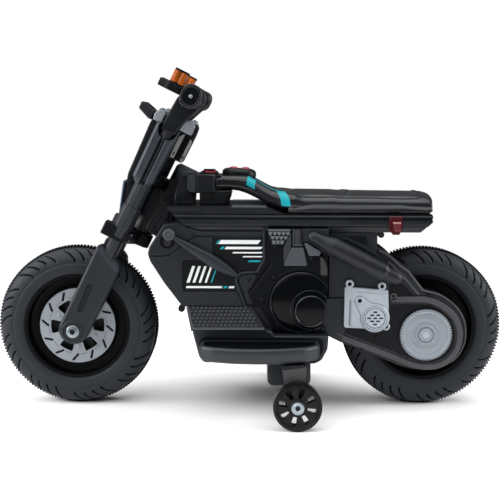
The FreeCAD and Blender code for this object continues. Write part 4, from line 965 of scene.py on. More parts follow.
hull = fillet(offset(pocket, 0.4), 13, 6)
shell.slab(hull, 89, 92.1, edge=0.3, mat=1)
shell.tube([(153.6, 84, 347), (158.6, 84, 326)], [11.5, 10.5], 32)
line = [(-26.6, 361), (-26.6, 300.4), (-13.6, 277.6), (18.6, 275.0), (27.8, 262.6),
        (8.0, 210.0), (-5.2, 208.2), (-33.8, 165.0)]
soft = [line[0]] + fillet(line, [0, 5, 4, 9, 9, 2, 2, 0], 4)[1:-1] + [line[-1]]
shell.slab(strip(soft, 2.2, 2.2), 90, 96.6, edge=1.3, lo_edge=0, mat=2)
field = [(71.2, 343), (-24.8, 343), (-24.4, 301), (-14.6, 279.6), (18.8, 277.2), (27.0, 265.4),
         (26.6, 239.4), (128, 239), (128, 298.8), (71.2, 299)]
shell.slab(fillet(field, 1.5), 90, 92.3, edge=0.4, lo_edge=0, mat=1)
chan = [(-29.4, 354), (-29.2, 299), (-17.6, 274.6), (17.6, 272), (24.6, 262.4), (5.2, 211.4),
        (-6.4, 209.8), (-40, 162), (-140, 162), (-146, 250), (-146, 354)]
shell.slab(fillet(chan, 1.5), 90, 92.2, edge=0.4, lo_edge=0, mat=1)
mount = [(16.6, 271.6), (-15.5, 273.4), (-3.2, 247), (4.0, 241), (0.6, 231), (-8.4, 216.4),
         (3.8, 212.6), (22.4, 262)]
shell.slab(fillet(mount, 4), 91, 94.2, edge=1.2, lo_edge=0)
shell.bolt((1.5, 94.0, 262.2), 3.2, 1.8, mat=3, n=20)
shell.bolt((109, 95.0, 350.6), 3.4, 1.8, mat=3, n=20)
shell.tube([(130.6, 76, 205.4), (130.6, 93, 205.4)], [6.4, 6.4], 24, mat=1)
piece(shell, "body_panel_left", [M_BODY, M_FIELD, M_BODY2, M_FRAME], "chassis",
      "body_shell_left", sharp=30)
piece(shell.flipped(), "body_panel_right", [M_BODY, M_FIELD, M_BODY2, M_FRAME], "chassis",
      "body_shell_right", sharp=30)


def bars(a, rows, m, y=92.2, high=0.45):
    for x0, x1, z0, z1, lean in rows:
        a.slab([(x0 + lean, z1), (x1 + lean, z1), (x1, z0), (x0, z0)], y, y + high, edge=0.12,
               seg=1, mat=m)


stripe = Acc()
bars(stripe, [(61, -15, 330.5, 338.2, -6), (49, -20.5, 320.6, 325.4, -4), (34, -22, 312.6, 315.4, -2.4),
              (14.5, -22, 305.2, 307.6, -2)], 0)
bars(stripe, [(65.5, 62.8, 330.5, 338.2, -6), (57.5, 51.6, 320.6, 325.4, -4)], 1)
bars(stripe, [(4, -19, 296.0, 299.4, -2.6)], 1)
bars(stripe, [(121 - 11.5 * k, 115.2 - 11.5 * k + 0.55 * k, 256, 288, -11) for k in range(4)], 0)
bars(stripe, [(75, 72.4, 256, 288, -11)], 1)
bars(stripe, [(122.5, 54, 245.4, 249.4, -1.5), (41, 30.4, 245.4, 249.4, -1.5)], 0)
bars(stripe, [(51, 44, 245.4, 249.4, -1.5)], 1)
for nm, a in (("side_stripes_left", stripe), ("side_stripes_right", stripe.flipped())):
    piece(a, nm, [M_WHITE, M_TEAL], "chassis", None, sharp=30)

def hull(points):
    """Convex block through mirrored points, its edges softened."""
    bm = bmesh.new()
    vs = [bm.verts.new((x, y * k, z)) for x, y, z in points for k in (1, -1)]
    bmesh.ops.convex_hull(bm, input=vs)
    bmesh.ops.dissolve_limit(bm, angle_limit=0.02, verts=bm.verts, edges=bm.edges)
    bmesh.ops.bevel(bm, geom=list(bm.edges), offset=1.5, offset_type="OFFSET", segments=2, profile=0.5,
                    affect="EDGES", clamp_overlap=True)
    bm.verts.index_update()
    a = Acc()
    a.add([tuple(v.co) for v in bm.verts], [tuple(v.index for v in f.verts) for f in bm.faces])
    bm.free()
    return a


neck = hull([(139, 15, 478), (144.6, 10, 475.6), (104, 24, 461.4), (143, 32, 469.8), (134.5, 43, 459.8), (147.2, 43, 401.8),
             (109, 38, 401.8), (105, 38, 456), (158.6, 10, 448.6), (151, 12, 401.8)])
nose = Acc().slab([(-51, -24), (-10, -24), (-10, 24), (-51, 24)], 316, 340, axis="Z", edge=0, tf=FORK)
neck.cut(nose)
neck.slab(fillet([(132, 43.2), (109, 40.2), (109, 38), (132, 40)], 0.8), 402, 408, axis="Z", edge=0.6)
# The lid takes the lighter shroud charcoal: a painted highlight on the neck's top.
lid = hull([(138.4, 15, 478.8), (105.6, 23, 462.4), (142.4, 31, 470.6), (120, 35, 465.0), (135, 40, 462.6), (112, 36, 460.6)])
neck.merge(lid)
neck.m = [0] * (len(neck.f) - len(lid.f)) + [1] * len(lid.f)
piece(neck, "neck_cowl", [M_BODY, M_SHROUD], "chassis", "neck_cover", sharp=30)

# ------------------------------------------------------------------- rails
rail_side = fillet([(160.5, 400.6), (147.4, 387.9), (132.4, 372.8), (119.2, 361.4), (94.7, 353.0),
                    (-322.5, 351.8), (-345.5, 373.4), (-346, 388.5), (-62, 388.5), (-33, 400.0)],
                   [2, 3, 6, 6, 6, 3, 4, 3, 8, 8], 4)
section = [(2, 352.6), (84, 352.6), (89.5, 353.6), (92.6, 363.6), (95.6, 364.6), (97.4, 366), (98, 368),
           (98, 374.8), (97.4, 376.4), (95.4, 377), (93.4, 377.3), (92.8, 378.0), (92.8, 380.0),
           (93.6, 380.7), (95.8, 381.0), (96.8, 381.8), (96.8, 383.8), (95.8, 385.2), (93.0, 385.6),
           (91.0, 385.8), (90.6, 401.5), (2, 401.5)]
rail = Acc().slab(section, -350, 165, axis="X", edge=0)
rail.cut(Acc().slab(rail_side, 1, 110, edge=0), "INTERSECT")
wall = Acc().slab([(-335, 340), (60, 340), (60, 383), (-335, 383)], -10, 60, edge=0)
rail.cut(wall)
rail.slab(fillet([(152, 399.4), (104, 399.4), (98, 392.4), (140, 392.4)], 1.2), 86, 93.4, edge=0.9)
rail.slab(fillet([(-34, 398), (35, 398), (35, 401.2), (-30, 401.2)], 0.6), 30, 88, edge=0.8, mat=1)
# Rail tops under the seat take the black: painted shade in the gap beneath the seat.
for i, f in enumerate(rail.f):
    cx = sum(rail.v[k][0] for k in f) / len(f)
    cz = sum(rail.v[k][2] for k in f) / len(f)
    if cz > 385.7 and cx < -48:
        rail.m[i] = 2
piece(rail.mirror(), "seat_side_rails", [M_RAIL, M_TRIM, M_BLACK_SHADE], "chassis", "seat_rails",
      sharp=24)

# --------------------------------------------------------------- arm and seat
TOPX = [-110, -100, -85, -70, -56, -42, -30, -16, -1, 4, 10, 30, 54, 66]
TOPZ = [418.0, 421.0, 426.4, 428.4, 429.0, 432.4, 438.6, 446.4, 454.2, 456.8, 458.0, 458.4, 458.2, 458.0]
BOTX = [-110, -84, -70, -57.8, -45, -30, -15, -4, 7, 21.8, 40, 66]
BOTZ = [391.2, 391.3, 391.6, 393.0, 397.2, 404.4, 412.2, 417.6, 422.6, 427.4, 429.6, 430]
WIDX = [-110, -96, -85, -75, -62, -40, -20, 0, 20, 54, 66]
WIDY = [84.0, 86.4, 89.4, 88.4, 83.5, 72, 62.5, 56, 52.5, 50, 50]


def arm_ring(x, grow=0.0, n=64):
    zt, zb, w = lerp(x, TOPX, TOPZ) + grow, lerp(x, BOTX, BOTZ) - grow, lerp(x, WIDX, WIDY) + grow
    zc, h = (zt + zb) / 2, (zt - zb) / 2
    out = []
    for k in range(n):
        a = 2 * PI * k / n
        c, s = math.cos(a), math.sin(a)
        py = math.copysign(abs(c) ** 0.36, c) * w
        pz = math.copysign(abs(s) ** 0.62, s) * h
        out.append((x, py, zc + pz))
    return out


def arm_point(x, k, grow, n=256):
    zt, zb, w = lerp(x, TOPX, TOPZ), lerp(x, BOTX, BOTZ), lerp(x, WIDX, WIDY)
    zc, h = (zt + zb) / 2, (zt - zb) / 2
    a = k
    c, s = math.cos(a), math.sin(a)
    return (x, math.copysign(abs(c) ** 0.36, c) * (w + grow),
            zc + math.copysign(abs(s) ** 0.62, s) * (h + grow))


arm = Acc()
stations = [66, 65, 62] + [60 - 2.5 * k for k in range(66)]
rings = [arm_ring(66, -2.2), arm_ring(65.4, -0.9), arm_ring(64.2, -0.2)]
rings += [arm_ring(x) for x in stations[3:]]
arm.loft(rings)
console = fillet([(124, 453), (119, 459.8), (67, 459.4), (67, 423.8), (117, 423.6),
                  (123.6, 429.4)], [7, 7, 2, 2, 6, 7], 5)
box = Acc().slab(console, -50, 50, edge=2.6, seg=4)
hole = Acc()
hole.slab([(64.5, -10.5), (92.5, -10.5), (92.5, 10.5), (64.5, 10.5)], 452, 480, axis="Z", edge=0)
hole.slab([(96, -43.5), (140, -43.5), (140, 43.5), (96, 43.5)], 390, 453.0, axis="Z", edge=0)
box.cut(hole)
arm.merge(box)
# A black slab between the console and the arm: painted shade in the gap.
arm.slab(fillet([(70, 429), (70, 457.8), (56, 457.4), (56, 431)], 1), -47.0, 47.0, edge=1, mat=1)
for s in (1, -1):
    arm.slab(fillet([(123.2, 446), (119, 458.6), (105.6, 458.8), (105.6, 424.8), (116.6, 424.6), (122.6, 430.4)], 2.5),
             min(s * 46, s * 50.7), max(s * 46, s * 50.7), edge=2.2, mat=4)
    arm.slab(fillet([(104.4, 425.8), (104.4, 458.4), (70.5, 458.2), (70.5, 425.8)], 1.5), min(s * 48, s * 50.4),
             max(s * 48, s * 50.4), edge=0.7, mat=3)
    # Thin lighter strips at the panel's front and rear ends: painted highlights on its edges.
    for x in (102.6, 71.2):
        arm.slab([(x - 0.6, 427), (x + 0.6, 427), (x + 0.6, 457.4), (x - 0.6, 457.4)], min(s * 49, s * 50.9),
                 max(s * 49, s * 50.9), edge=0.3, seg=1, mat=4)
stem = Acc().slab(fillet([(41, 401.2), (41, 405), (35.5, 421), (37, 429), (94, 429), (98.2, 425),
                          (97.6, 401.2)], [1, 3, 6, 2, 2, 2, 1], 4), -46, 46, edge=2.5)
stem.cut(Acc().slab([(95.5, -43.5), (140, -43.5), (140, 43.5), (95.5, 43.5)], 390, 470, axis="Z",
                    edge=0))
arm.merge(stem)
for s in (1, -1):
    arm.bolt((51.5, 49.0 * s, 449.5), 2.4, 1.4, mat=3, side=s, n=18, socket=0.3)
    arm.slab(fillet([(44, 404), (49, 404), (44, 421), (39, 421)], 1), min(s * 45, s * 47.4),
             max(s * 45, s * 47.4), edge=0.8, mat=1)
piece(arm, "tank_arm_moulding", [M_ARM, M_BLACK_SHADE, M_STEEL, M_FRAME, M_SHROUD], "chassis", "tank_arm",
      sharp=34)


def patch(a, grid, m):
    """Closed thin skin over the arm: grid rows of (x, angle)."""
    rows = [[arm_point(x, w, 0.55) for x, w in r] for r in grid]
    back = [[arm_point(x, w, -0.35) for x, w in r] for r in grid]
    nr, nc = len(rows), len(rows[0])
    verts = [p for r in rows for p in r] + [p for r in back for p in r]
    o = nr * nc
    faces = []
    for i in range(nr - 1):
        for j in range(nc - 1):
            q = (i * nc + j, i * nc + j + 1, (i + 1) * nc + j + 1, (i + 1) * nc + j)
            faces.append(q)
            faces.append(tuple(k + o for k in q[::-1]))
    rim = [j for j in range(nc)] + [i * nc + nc - 1 for i in range(1, nr)] \
        + [(nr - 1) * nc + j for j in range(nc - 2, -1, -1)] + [i * nc for i in range(nr - 2, 0, -1)]
    for i in range(len(rim)):
        p, q = rim[i], rim[(i + 1) % len(rim)]
        faces.append((q, p, p + o, q + o))
    a.add(verts, faces, m)


def angle_for(x, z):
    """Angle on the arm's left side whose height is z."""
    zt, zb = lerp(x, TOPX, TOPZ), lerp(x, BOTX, BOTZ)
    f = max(-1, min(1, (z - (zt + zb) / 2) / ((zt - zb) / 2)))
    return math.asin(math.copysign(abs(f) ** (1 / 0.62), f))


bands = Acc()
rows = []
for i in range(25):
    t = i / 24
    row = []
    for j in range(9):
        u = j / 8
        x_hi, z_hi = 4.4 + (-11.5 - 4.4) * u, None
        x_lo, z_lo = 7.4 + (-8.4 - 7.4) * u, 440.6 + (432.4 - 440.6) * u
        x = x_hi + (x_lo - x_hi) * t
        w_hi = PI / 2 - 0.32
        w_lo = angle_for(x_lo, z_lo)
        row.append((x, w_hi + (w_lo - w_hi) * t))
    rows.append(row)
patch(bands, rows, 0)
rows = []
for i in range(25):
    t = i / 24
    row = []
    for j in range(9):
        u = j / 8
        x_hi = -48.5 + (-66.5 + 48.5) * u
        x_lo = -60.6 + (-77.2 + 60.6) * u
        x = x_hi + (x_lo - x_hi) * t
        w_hi = PI / 2 - 0.32
        w_lo = angle_for(x_lo, 402.4)
        row.append((x, w_hi + (w_lo - w_hi) * t))
    rows.append(row)
patch(bands, rows, 0)
rows = []
for i in range(3):
    rows.append([(-9.5 - 40.5 * j / 24, PI / 2 - 0.32 - 0.085 * i) for j in range(25)])
patch(bands, rows, 0)
piece(bands.mirror(), "arm_colour_bands", M_TEAL, "chassis", None, sharp=60,
      weighted=False)

pad = Acc()
plan = fillet([(-11.5, -28), (55, -28), (55, 28), (-11.5, 28)], [24, 27, 27, 24], 8)
rings = []
for off, z in ((3.0, 452), (0.8, 455), (0.0, 458), (0.0, 463.6), (0.6, 465.8), (2.4, 468.0), (5.6, 469.8),
               (10, 470.8), (13, 471.0)):
    rings.append([(x, y, z - 0.0026 * max(0.0, 55 - x) ** 1.7) for x, y in offset(plan, off)])
pad.loft(rings)
wells = Acc()
for x in (33, 9.5):
    wells.lathe([(0, 460.6), (9.4, 460.6), (9.4, 480), (0, 480)], 40, loop=False,
                tf=lambda p, x=x: (x + p[0], p[2], p[1]))
pad.cut(wells)
piece(pad, "button_pod", [M_FRAME, M_BODY2], "chassis", "button_pad", sharp=32)

for node, body, x in (("power_button", "power", 33), ("music_button", "music", 9.5)):
    a = Acc()
    sink = 1.1 if node == "power_button" else 2.3
    a.lathe([(0, 474.7), (3.4, 474.5), (5.8, 473.9), (7.6, 472.8), (8.6, 471.4), (9, 469.8), (9, 467.6),
             (0, 467.6)], 40, loop=False, tf=lambda p, x=x, sink=sink: (x + p[0], p[2], p[1] - sink))
    if node == "power_button":
        arc = ring(x, 0, 3.6, 22, math.radians(130), math.radians(410), False)
        a.slab(strip(arc, 0.5, 0.5), 472.3, 473.65, axis="Z", edge=0.2, seg=1, mat=1)
        a.slab([(x - 4.6, -0.5), (x - 0.6, -0.5), (x - 0.6, 0.5), (x - 4.6, 0.5)], 472.3, 473.7,
               axis="Z", edge=0.2, seg=1, mat=1)
    else:
        a.slab(fillet([(x - 3.6, -3.4), (x - 3.6, 3.4), (x + 4.2, 0)], 0.6), 471.2, 472.6, axis="Z",
               edge=0.2, seg=1, mat=1)
    piece(a, node + "_cap", [M_BUTTON, M_WHITE], body, node, sharp=30)

rock = Acc().slab(fillet([(67.5, 466.2), (73.5, 463.6), (83.5, 463.6), (89.5, 466.2), (89.5, 460),
                          (83.5, 456.5), (73.5, 456.5), (67.5, 460)], [0.8, 6, 6, 0.8, 2, 2, 2, 2],
                         3), -9, 9, edge=0.9)
for k in range(3):
    rock.box(70.4 + 0, 71.2, -5.5, 5.5, 464.4, 465.6, 0.2, tf=SHIFT(-0.9 + 1.9 * k, 0, 0.1 - 0.8 * k))
piece(rock, "rocker_cap", M_BUTTON, "rocker", "rocker_switch", sharp=30)
bezel = Acc().slab(fillet([(62.4, -13), (99.6, -13), (99.6, 13), (62.4, 13)], 3), 459.0, 461.8,
                   axis="Z", edge=1.2)
bezel.cut(Acc().slab([(64.6, -10.4), (92.4, -10.4), (92.4, 10.4), (64.6, 10.4)], 440, 480,
                     axis="Z", edge=0))
bezel.slab(fillet([(63.6, 459.4), (99.4, 459.4), (97.6, 463.0), (93.4, 464.6), (91.6, 467.8), (69.8, 467.8), (67.6, 464.6), (64.4, 463.2)],
                  [1, 1, 1.5, 2, 1.2, 1.2, 2, 1.5], 3), -13.4, -10.6, edge=0.8)
piece(bezel, "rocker_bezel", M_FRAME, "chassis", None, sharp=30)

# The seat: a dense pad, softly inflated, then dressed with its piping.
SX = [-345.2, -344.9, -344.1, -342.8, -340.8, -338.2, -335, -331.6] + [-328 + 5.0 * k for k in range(0, 50)] + [-78, -74.5, -72.5]
SIDE = [(0, 391.5), (36, 391.5), (70, 391.5), (84, 389.0), (88.4, 389.4), (90.6, 390.8), (91.2, 393.2), (90.7, 396.8),
        (89.7, 400.2), (88.7, 402.8), (88.1, 405.4), (88.0, 408.0), (88.2, 410.6), (87.7, 413.2), (86, 415.6), (83, 417.4),
        (79.6, 418.6), (77, 418.9), (75.4, 418.4), (73.6, 419.6), (69, 421.2), (60, 422.8), (48, 424.3), (34, 425.5),
        (17, 426.3), (0, 426.6)]


def seat_ring(x, shrink=1.0):
    tail = max(0.0, (-335.5 - x) / 9.8)
    rnd = math.sqrt(max(0.0, 1 - tail ** 2.3)) if tail else 1.0
    nose = max(0.0, (x + 84) / 13.0)
    fall = 2.4 * max(0.0, min(1.0, (-100 - x) / 240))
    lift = 1.3 * max(0.0, min(1.0, (x + 172) / 14)) - fall
    out = []
    for y, z in SIDE:
        h = (z - 391.5) / 35.1
        top = z + lift * h - shrink * (1 if h > 0.3 else 0)
        mid = 403.0
        top = mid + (top - mid) * (0.40 + 0.60 * rnd) if top > mid else mid + (top - mid) * (0.60 + 0.40 * rnd)
        top -= 2.2 * nose ** 2 * h
        w = (y - shrink * (1 if y > 80 else 0)) * (0.95 + 0.05 * rnd)
        w -= 4.6 * nose ** 2 * (1 if y > 60 else 0)
        bulge = 10.0 * (1 - (w / 92) ** 2) * max(0.0, (-290 - x) / 55.2) ** 1.5
        out.append((x - bulge, w, top))
    return out + [(x, -w, z) for x, w, z in out[-2:0:-1]]


def inflate(ob, limit, frames=18):
    """Runs a short cloth simulation with inner pressure and keeps a capped result."""
    start = np.array([v.co for v in ob.data.vertices])
    pin = ob.vertex_groups.new(name="rest")
    low = start[:, 2].min()
    pin.add([i for i, c in enumerate(start) if c[2] < low + 0.006], 1.0, "REPLACE")
    md = ob.modifiers.new("pad", "CLOTH")
    st = md.settings
    st.vertex_group_mass = "rest"
    st.quality = 6
    st.mass = 0.3
    st.tension_stiffness = 18
    st.compression_stiffness = 18
    st.shear_stiffness = 8
    st.bending_stiffness = 2.5
    st.use_pressure = True
    st.uniform_pressure_force = 4.0
    st.effector_weights.gravity = 0.0
    md.collision_settings.use_collision = False
    md.collision_settings.use_self_collision = False
    md.point_cache.frame_start = 1
    md.point_cache.frame_end = frames
    sc = bpy.context.scene
    for f in range(1, frames + 1):
        sc.frame_set(f)
    dg = bpy.context.evaluated_depsgraph_get()
    me = ob.evaluated_get(dg).to_mesh()
    end = np.array([v.co for v in me.vertices])
    ob.evaluated_get(dg).to_mesh_clear()
    ob.modifiers.remove(md)
    sc.frame_set(1)
    mv = end - start
    ln = np.linalg.norm(mv, axis=1, keepdims=True)
    mv = mv * np.minimum(1.0, limit / np.maximum(ln, 1e-9))
    ob.data.vertices.foreach_set("co", (start + mv).ravel())
    ob.data.update()
    ob.vertex_groups.clear()


seat = Acc()
seat.loft([seat_ring(x) for x in SX])
cushion = seat.temp("seat_cushion")
cushion.data.materials.append(M_SEAT)
inflate(cushion, 0.0022)
cushion.data.polygons.foreach_set("use_smooth", [True] * len(cushion.data.polygons))
sub = cushion.modifiers.new("smooth", "SUBSURF")
sub.levels = sub.render_levels = 1
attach(cushion, "chassis")
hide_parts("seat")


def seat_top(x, y):
    """Height of the padded top at a place, found by looking straight down."""
    dg = bpy.context.evaluated_depsgraph_get()
    ok, loc, _, _ = cushion.evaluated_get(dg).ray_cast(Vector((x * MM, y * MM, 0.6)), Vector((0, 0, -1)))
    return loc.z / MM if ok else 430.0


trimline = Acc()
edge_l = [(x, lerp(x, [-330, -318, -190, -176, -90, -80], [73, 75.2, 75.4, 75.2, 75, 74])) for x in
          np.linspace(-330, -82, 60)]
for s in (1, -1):
    trimline.tube([(x, y * s, seat_top(x, y * s) + 0.35) for x, y in edge_l], 1.25, 8)
chev = [(-196 + 20 * abs(y) / 74, y) for y in np.linspace(-74, 74, 49)]
trimline.tube([(x, y, seat_top(x, y) + 0.1) for x, y in chev], 1.1, 8)
back = [(-328 + 3.5 * (abs(y) / 70) ** 3, y) for y in np.linspace(-70, 70, 41)]
trimline.tube([(x, y, seat_top(x, y) + 0.25) for x, y in back], 1.2, 8)
for k in range(46):
    y = -69 + 3.0 * k + 1.5
    x = -200.6 + 20 * abs(y) / 74
    z = seat_top(x, y)
    trimline.tube([(x - 0.3, y - 0.95, z - 0.2), (x - 0.1, y, z + 0.42), (x + 0.1, y + 0.95, z - 0.2)],
                  0.34, 6, mat=1)
piece(trimline, "seat_piping_lines", [M_PIPE, M_TRIM], "chassis", None, sharp=60,
      weighted=False)

# ------------------------------------------------------------ engine and trims
eng = Acc()
cover = [(-31.6, 361), (-39.8, 331.8), (-39.8, 292.4), (-1.6, 241.2), (-1.8, 235), (-50.0, 165.3), (-134.6, 161.8),
         (-143.2, 208), (-148, 245), (-147.5, 288.6), (-139.4, 306.4), (-133.4, 310.6), (-134.8, 318.9), (-108.6, 335.2),
         (-100, 335.8), (-99.5, 361)]
RADII = [1, 5, 6, 3, 3, 5, 3, 8, 8, 5, 4, 3, 3, 2, 2, 1]
eng.slab(fillet(cover, RADII, 4), 95.3, 105.4, edge=2.6, lo_edge=0.5)
inner = [(-42.6, 329), (-43.6, 294.4), (-6.6, 241.4), (-6.6, 236.4), (-52.6, 168.6), (-132.4, 165.2), (-140.6, 208), (-145, 245),
         (-144.4, 287), (-131, 304), (-110.5, 309), (-103, 333), (-81, 328), (-62, 330)]
eng.slab(fillet(inner, [2, 6, 3, 3, 5, 3, 8, 8, 5, 4, 3, 3, 2, 2], 4), 103, 106.2, edge=0.9)
dome = Acc()
AT1 = SHIFT(-97, 0, 221)
dome.lathe([(0, 112.6), (15, 112.4), (30, 111.9), (44, 111.0), (52, 110.2), (54.2, 109.6), (55.2, 108.6),
            (55.8, 109.8), (57.0, 110.6), (58.6, 110.0), (59.6, 108.4), (60.0, 104), (0, 104)], 128,
           mat=1, tf=AT1, loop=False)
dome.lathe([(62.6, 104), (63.0, 106.6), (64.2, 107.2), (65.4, 106.6), (65.8, 104)], 128, mat=0, tf=AT1)
keep_in = [(-30, 356), (-38, 294), (4, 241), (-46, 163), (-132.0, 162.2), (-136.0, 187), (-141.2, 208), (-146.2, 245),
           (-146.4, 300), (-120, 356)]
dome.cut(Acc().slab(keep_in, 90, 130, edge=0), "INTERSECT")
AT2 = SHIFT(-115.0, 0, 207.1)
dome2 = Acc()
dome2.lathe([(33.5, 110.4), (36.4, 112.2), (37.4, 113.0), (38.6, 112.6), (39.4, 111.4), (39.8, 108),
             (33.5, 108)], 96, mat=1, tf=AT2)
dome2.cut(Acc().slab(keep_in, 90, 130, edge=0), "INTERSECT")
dome3 = Acc().lathe([(0, 127.4), (10, 127.3), (20, 127.0), (26.6, 126.5), (27.8, 125.9), (28.6, 126.3), (29.6, 125.9),
                     (30.4, 124.4), (31.6, 118), (32.6, 111), (32.8, 106), (0, 106)], 96, mat=1, tf=AT2, loop=False)
dome3.cut(Acc().slab(keep_in, 90, 130, edge=0), "INTERSECT")
# Thin rings of lighter, glossier black on the dome rims: painted highlights.
highlight_ring = Acc().lathe([(56.4, 110.0), (57.1, 110.9), (58.0, 110.5), (58.3, 109.8), (57.2, 109.4)], 128, mat=3, tf=AT1)
highlight_ring.lathe([(28.3, 126.1), (29.0, 126.7), (29.9, 126.2), (30.2, 125.2), (29.0, 125.2)], 96, mat=3, tf=AT2)
highlight_ring.lathe([(36.8, 112.6), (37.5, 113.3), (38.4, 113.0), (38.8, 112.2), (37.5, 112.0)], 96, mat=3, tf=AT2)
highlight_ring.cut(Acc().slab(keep_in, 90, 130, edge=0), "INTERSECT")
for d in (dome, dome2, dome3, highlight_ring):
    eng.merge(d)
for x, z in ((-46.4, 326), (-44.6, 268.5), (-22.6, 225.5), (-52, 176.5), (-115.5, 304.6), (-139, 169.5)):
    eng.lathe([(4.6, 106.4), (5.2, 107.3), (6.4, 107.3), (7.0, 106.4), (6.4, 105.4), (5.0, 105.4)], 24,
              tf=SHIFT(x, 0, z))
piece(eng.mirror(), "engine_side_covers", [M_COVER, M_GLOSS, M_BLACK_SHADE, M_RIM_HIGHLIGHT], "chassis", "engine_covers",
      sharp=30)

trims = Acc()
vent = [(-32.6, 361), (-77.4, 361), (-63.8, 331.8), (-40.6, 331.8)]
trims.slab(fillet(vent, 1.2), 105.2, 107.2, edge=0.8, mat=3)
trims.slab(fillet([(-33.4, 360.6), (-76.8, 360.6), (-75.0, 356.6), (-34.8, 356.6)], 0.6), 106.4, 108.8, edge=0.6)
for z, count, x0 in ((352.2, 5, -38.4), (344.4, 4, -42.4), (336.4, 3, -45.0)):
    for k in range(count):
        x = x0 - (8.2 if count > 3 else 7.6) * k
        tri = [(x + 3.9, z + 2.9), (x - 3.9, z + 2.9), (x - 2.2, z - 1.6), (x, z - 3.4), (x + 2.2, z - 1.6)]
        trims.slab(tri, 106.6, 109.2, edge=1.0, seg=2, mat=4)
trims.slab(fillet([(-63.8, 334.6), (-40.8, 334.6), (-41.2, 332.2), (-64.2, 332.2)], 0.5), 106.6, 108.2, edge=0.5)
trims.slab(fillet([(-77.4, 356.4), (-77.6, 329.5), (-69.9, 300.3), (-64.0, 292.0), (-63.4, 323.6), (-68.4, 337.6)], 1),
           103.6, 106.9, edge=1.1, mat=2)
trims.slab(fillet([(-80.7, 361), (-98.8, 361), (-99.4, 329.3), (-81.0, 329.2)], 1), 103, 106.0, edge=0.9, mat=3)
trims.slab(fillet([(-84.3, 359.6), (-94.4, 359.6), (-94.7, 332.9), (-84.6, 332.9)], 0.8), 105, 106.9, edge=0.6, mat=2)
trims.slab(fillet([(-80.8, 361), (-82.6, 361), (-82.8, 330.4), (-81.0, 330.4)], 0.5), 105.4, 106.9, edge=0.4, mat=1)
trims.slab(fillet([(-81.2, 331.8), (-98.8, 331.8), (-98.8, 329.2), (-81.2, 329.2)], 0.5), 105.4, 107.1, edge=0.4, mat=1)
plate = [(-78.0, 325.9), (-100.6, 325.9), (-108.4, 291.1), (-64.4, 291)]
trims.slab(fillet(plate, 1.6), 104.8, 108.2, edge=1.0, mat=1)
wedge = [(-101.9, 334.9), (-108.2, 334.2), (-134.2, 318.3), (-131, 310.5), (-111.4, 310.4)]
trims.slab(fillet(wedge, 1.4), 104.6, 108.4, edge=1.0)
rear_trim = [(-133.0, 309.4), (-139.0, 305.8), (-146.6, 288.5), (-146.8, 272.8), (-133.4, 272.8)]
trims.slab(fillet(rear_trim, 1.2), 104.2, 106.4, edge=0.8, mat=5)
piece(trims.mirror(), "side_trim_plates", [M_TRIM, M_TRIM2, M_PANEL, M_FRAME, M_VENT, M_BROWN], "chassis", "side_trims",
      sharp=28)

strut = Acc()
mids = [(150.5, 347.8), (145.6, 344.8), (140.5, 340.9), (125, 331.6), (107.4, 320.8), (91, 311),
        (76.1, 301.8), (65, 295), (55.7, 289.2), (43, 281.6), (33, 275.6), (27, 271.4), (24.6, 269.6)]
wide = [3.4, 3.6, 4.2, 6.4, 8.5, 10.2, 11.2, 11.3, 10.6, 8.9, 6.4, 3.4, 0.8]
rings = []
fine_m = smooth_line(mids, 3)
fine_w = [q[0] for q in smooth_line([(w, 0) for w in wide], 3)]
ax = Vector((-126, 0, -78)).normalized()
nx = Vector((-ax.z, 0, ax.x))
for (x, z), w in zip(fine_m, fine_w):
    w = max(w, 0.4)
    deep = min(7.2, 2.2 + w * 0.52)
    rg = []
    for k in range(24):
        t = 2 * PI * k / 24
        c, s = math.cos(t), math.sin(t)
        q = Vector((x, 101.2, z)) + nx * (w * math.copysign(abs(c) ** 0.85, c)) \
            + Vector((0, 1, 0)) * (deep * math.copysign(abs(s) ** 0.8, s))
        rg.append(tuple(q))
    rings.append(rg)
strut.loft(rings)
strut.lathe([(0, 109.4), (4.2, 109.4), (5.0, 108.6), (6.0, 108.4), (6.6, 109.4), (9.2, 109.6),
             (10.6, 108.6), (11, 107), (11, 95.3), (0, 95.3)], 48, loop=False, mat=1,
            tf=SHIFT(153.4, 0, 349.2))
strut.lathe([(0, 101.6), (2.4, 101.4), (3.4, 100.6), (3.6, 99), (3.6, 95.3), (0, 95.3)], 32, loop=False, mat=1,
            tf=SHIFT(27.5, 0, 272.4))
piece(strut.mirror(), "side_strut_covers", [M_BODY2, M_TRIM2], "chassis", "side_struts",
      sharp=30)

# ------------------------------------------------------------- belly and feet
belly = Acc()
belly.slab(fillet([(121, 208.6), (110.2, 170), (96.6, 118.5), (88, 107), (-124, 105), (-137, 112),
                   (-148, 133), (-150, 160.4), (-46.5, 160.4), (-44.5, 208.6)],
                  [2, 20, 10, 12, 16, 14, 12, 3, 2, 2], 4), -95.2, 95.2, edge=2.0)
tub = fillet([(109.4, 170), (96, 118.5), (88, 107), (-124, 105), (-137, 112), (-148, 133), (-150, 160.4),
              (-46.5, 160.4), (-40, 170)], [5, 14, 14, 18, 14, 14, 4, 6, 3], 5)
belly.slab(tub, -124, 124, edge=5.0, seg=4)
for s in (1, -1):
    belly.slab(fillet([(107.6, 171.0), (106.0, 165.6), (-36, 165.6), (-32, 171.0)], 1.2),
               min(s * 110, s * 125.6), max(s * 110, s * 125.6), edge=1.2, mat=1)
    # A black sheet over the side hollow: painted shade.
    hollow = fillet([(98, 158), (93, 124), (86, 112.4), (-126, 112.4), (-138, 128), (-141, 156)],
                    [14, 12, 12, 12, 12, 12], 4)
    belly.slab(hollow, min(s * 122, s * 124.4), max(s * 122, s * 124.4), edge=0.5, mat=2)
piece(belly, "belly_tub", [M_BODY, M_BODY2, M_BLACK_SHADE], "chassis", "belly_pan", sharp=30)

SL = math.hypot(28, 37)


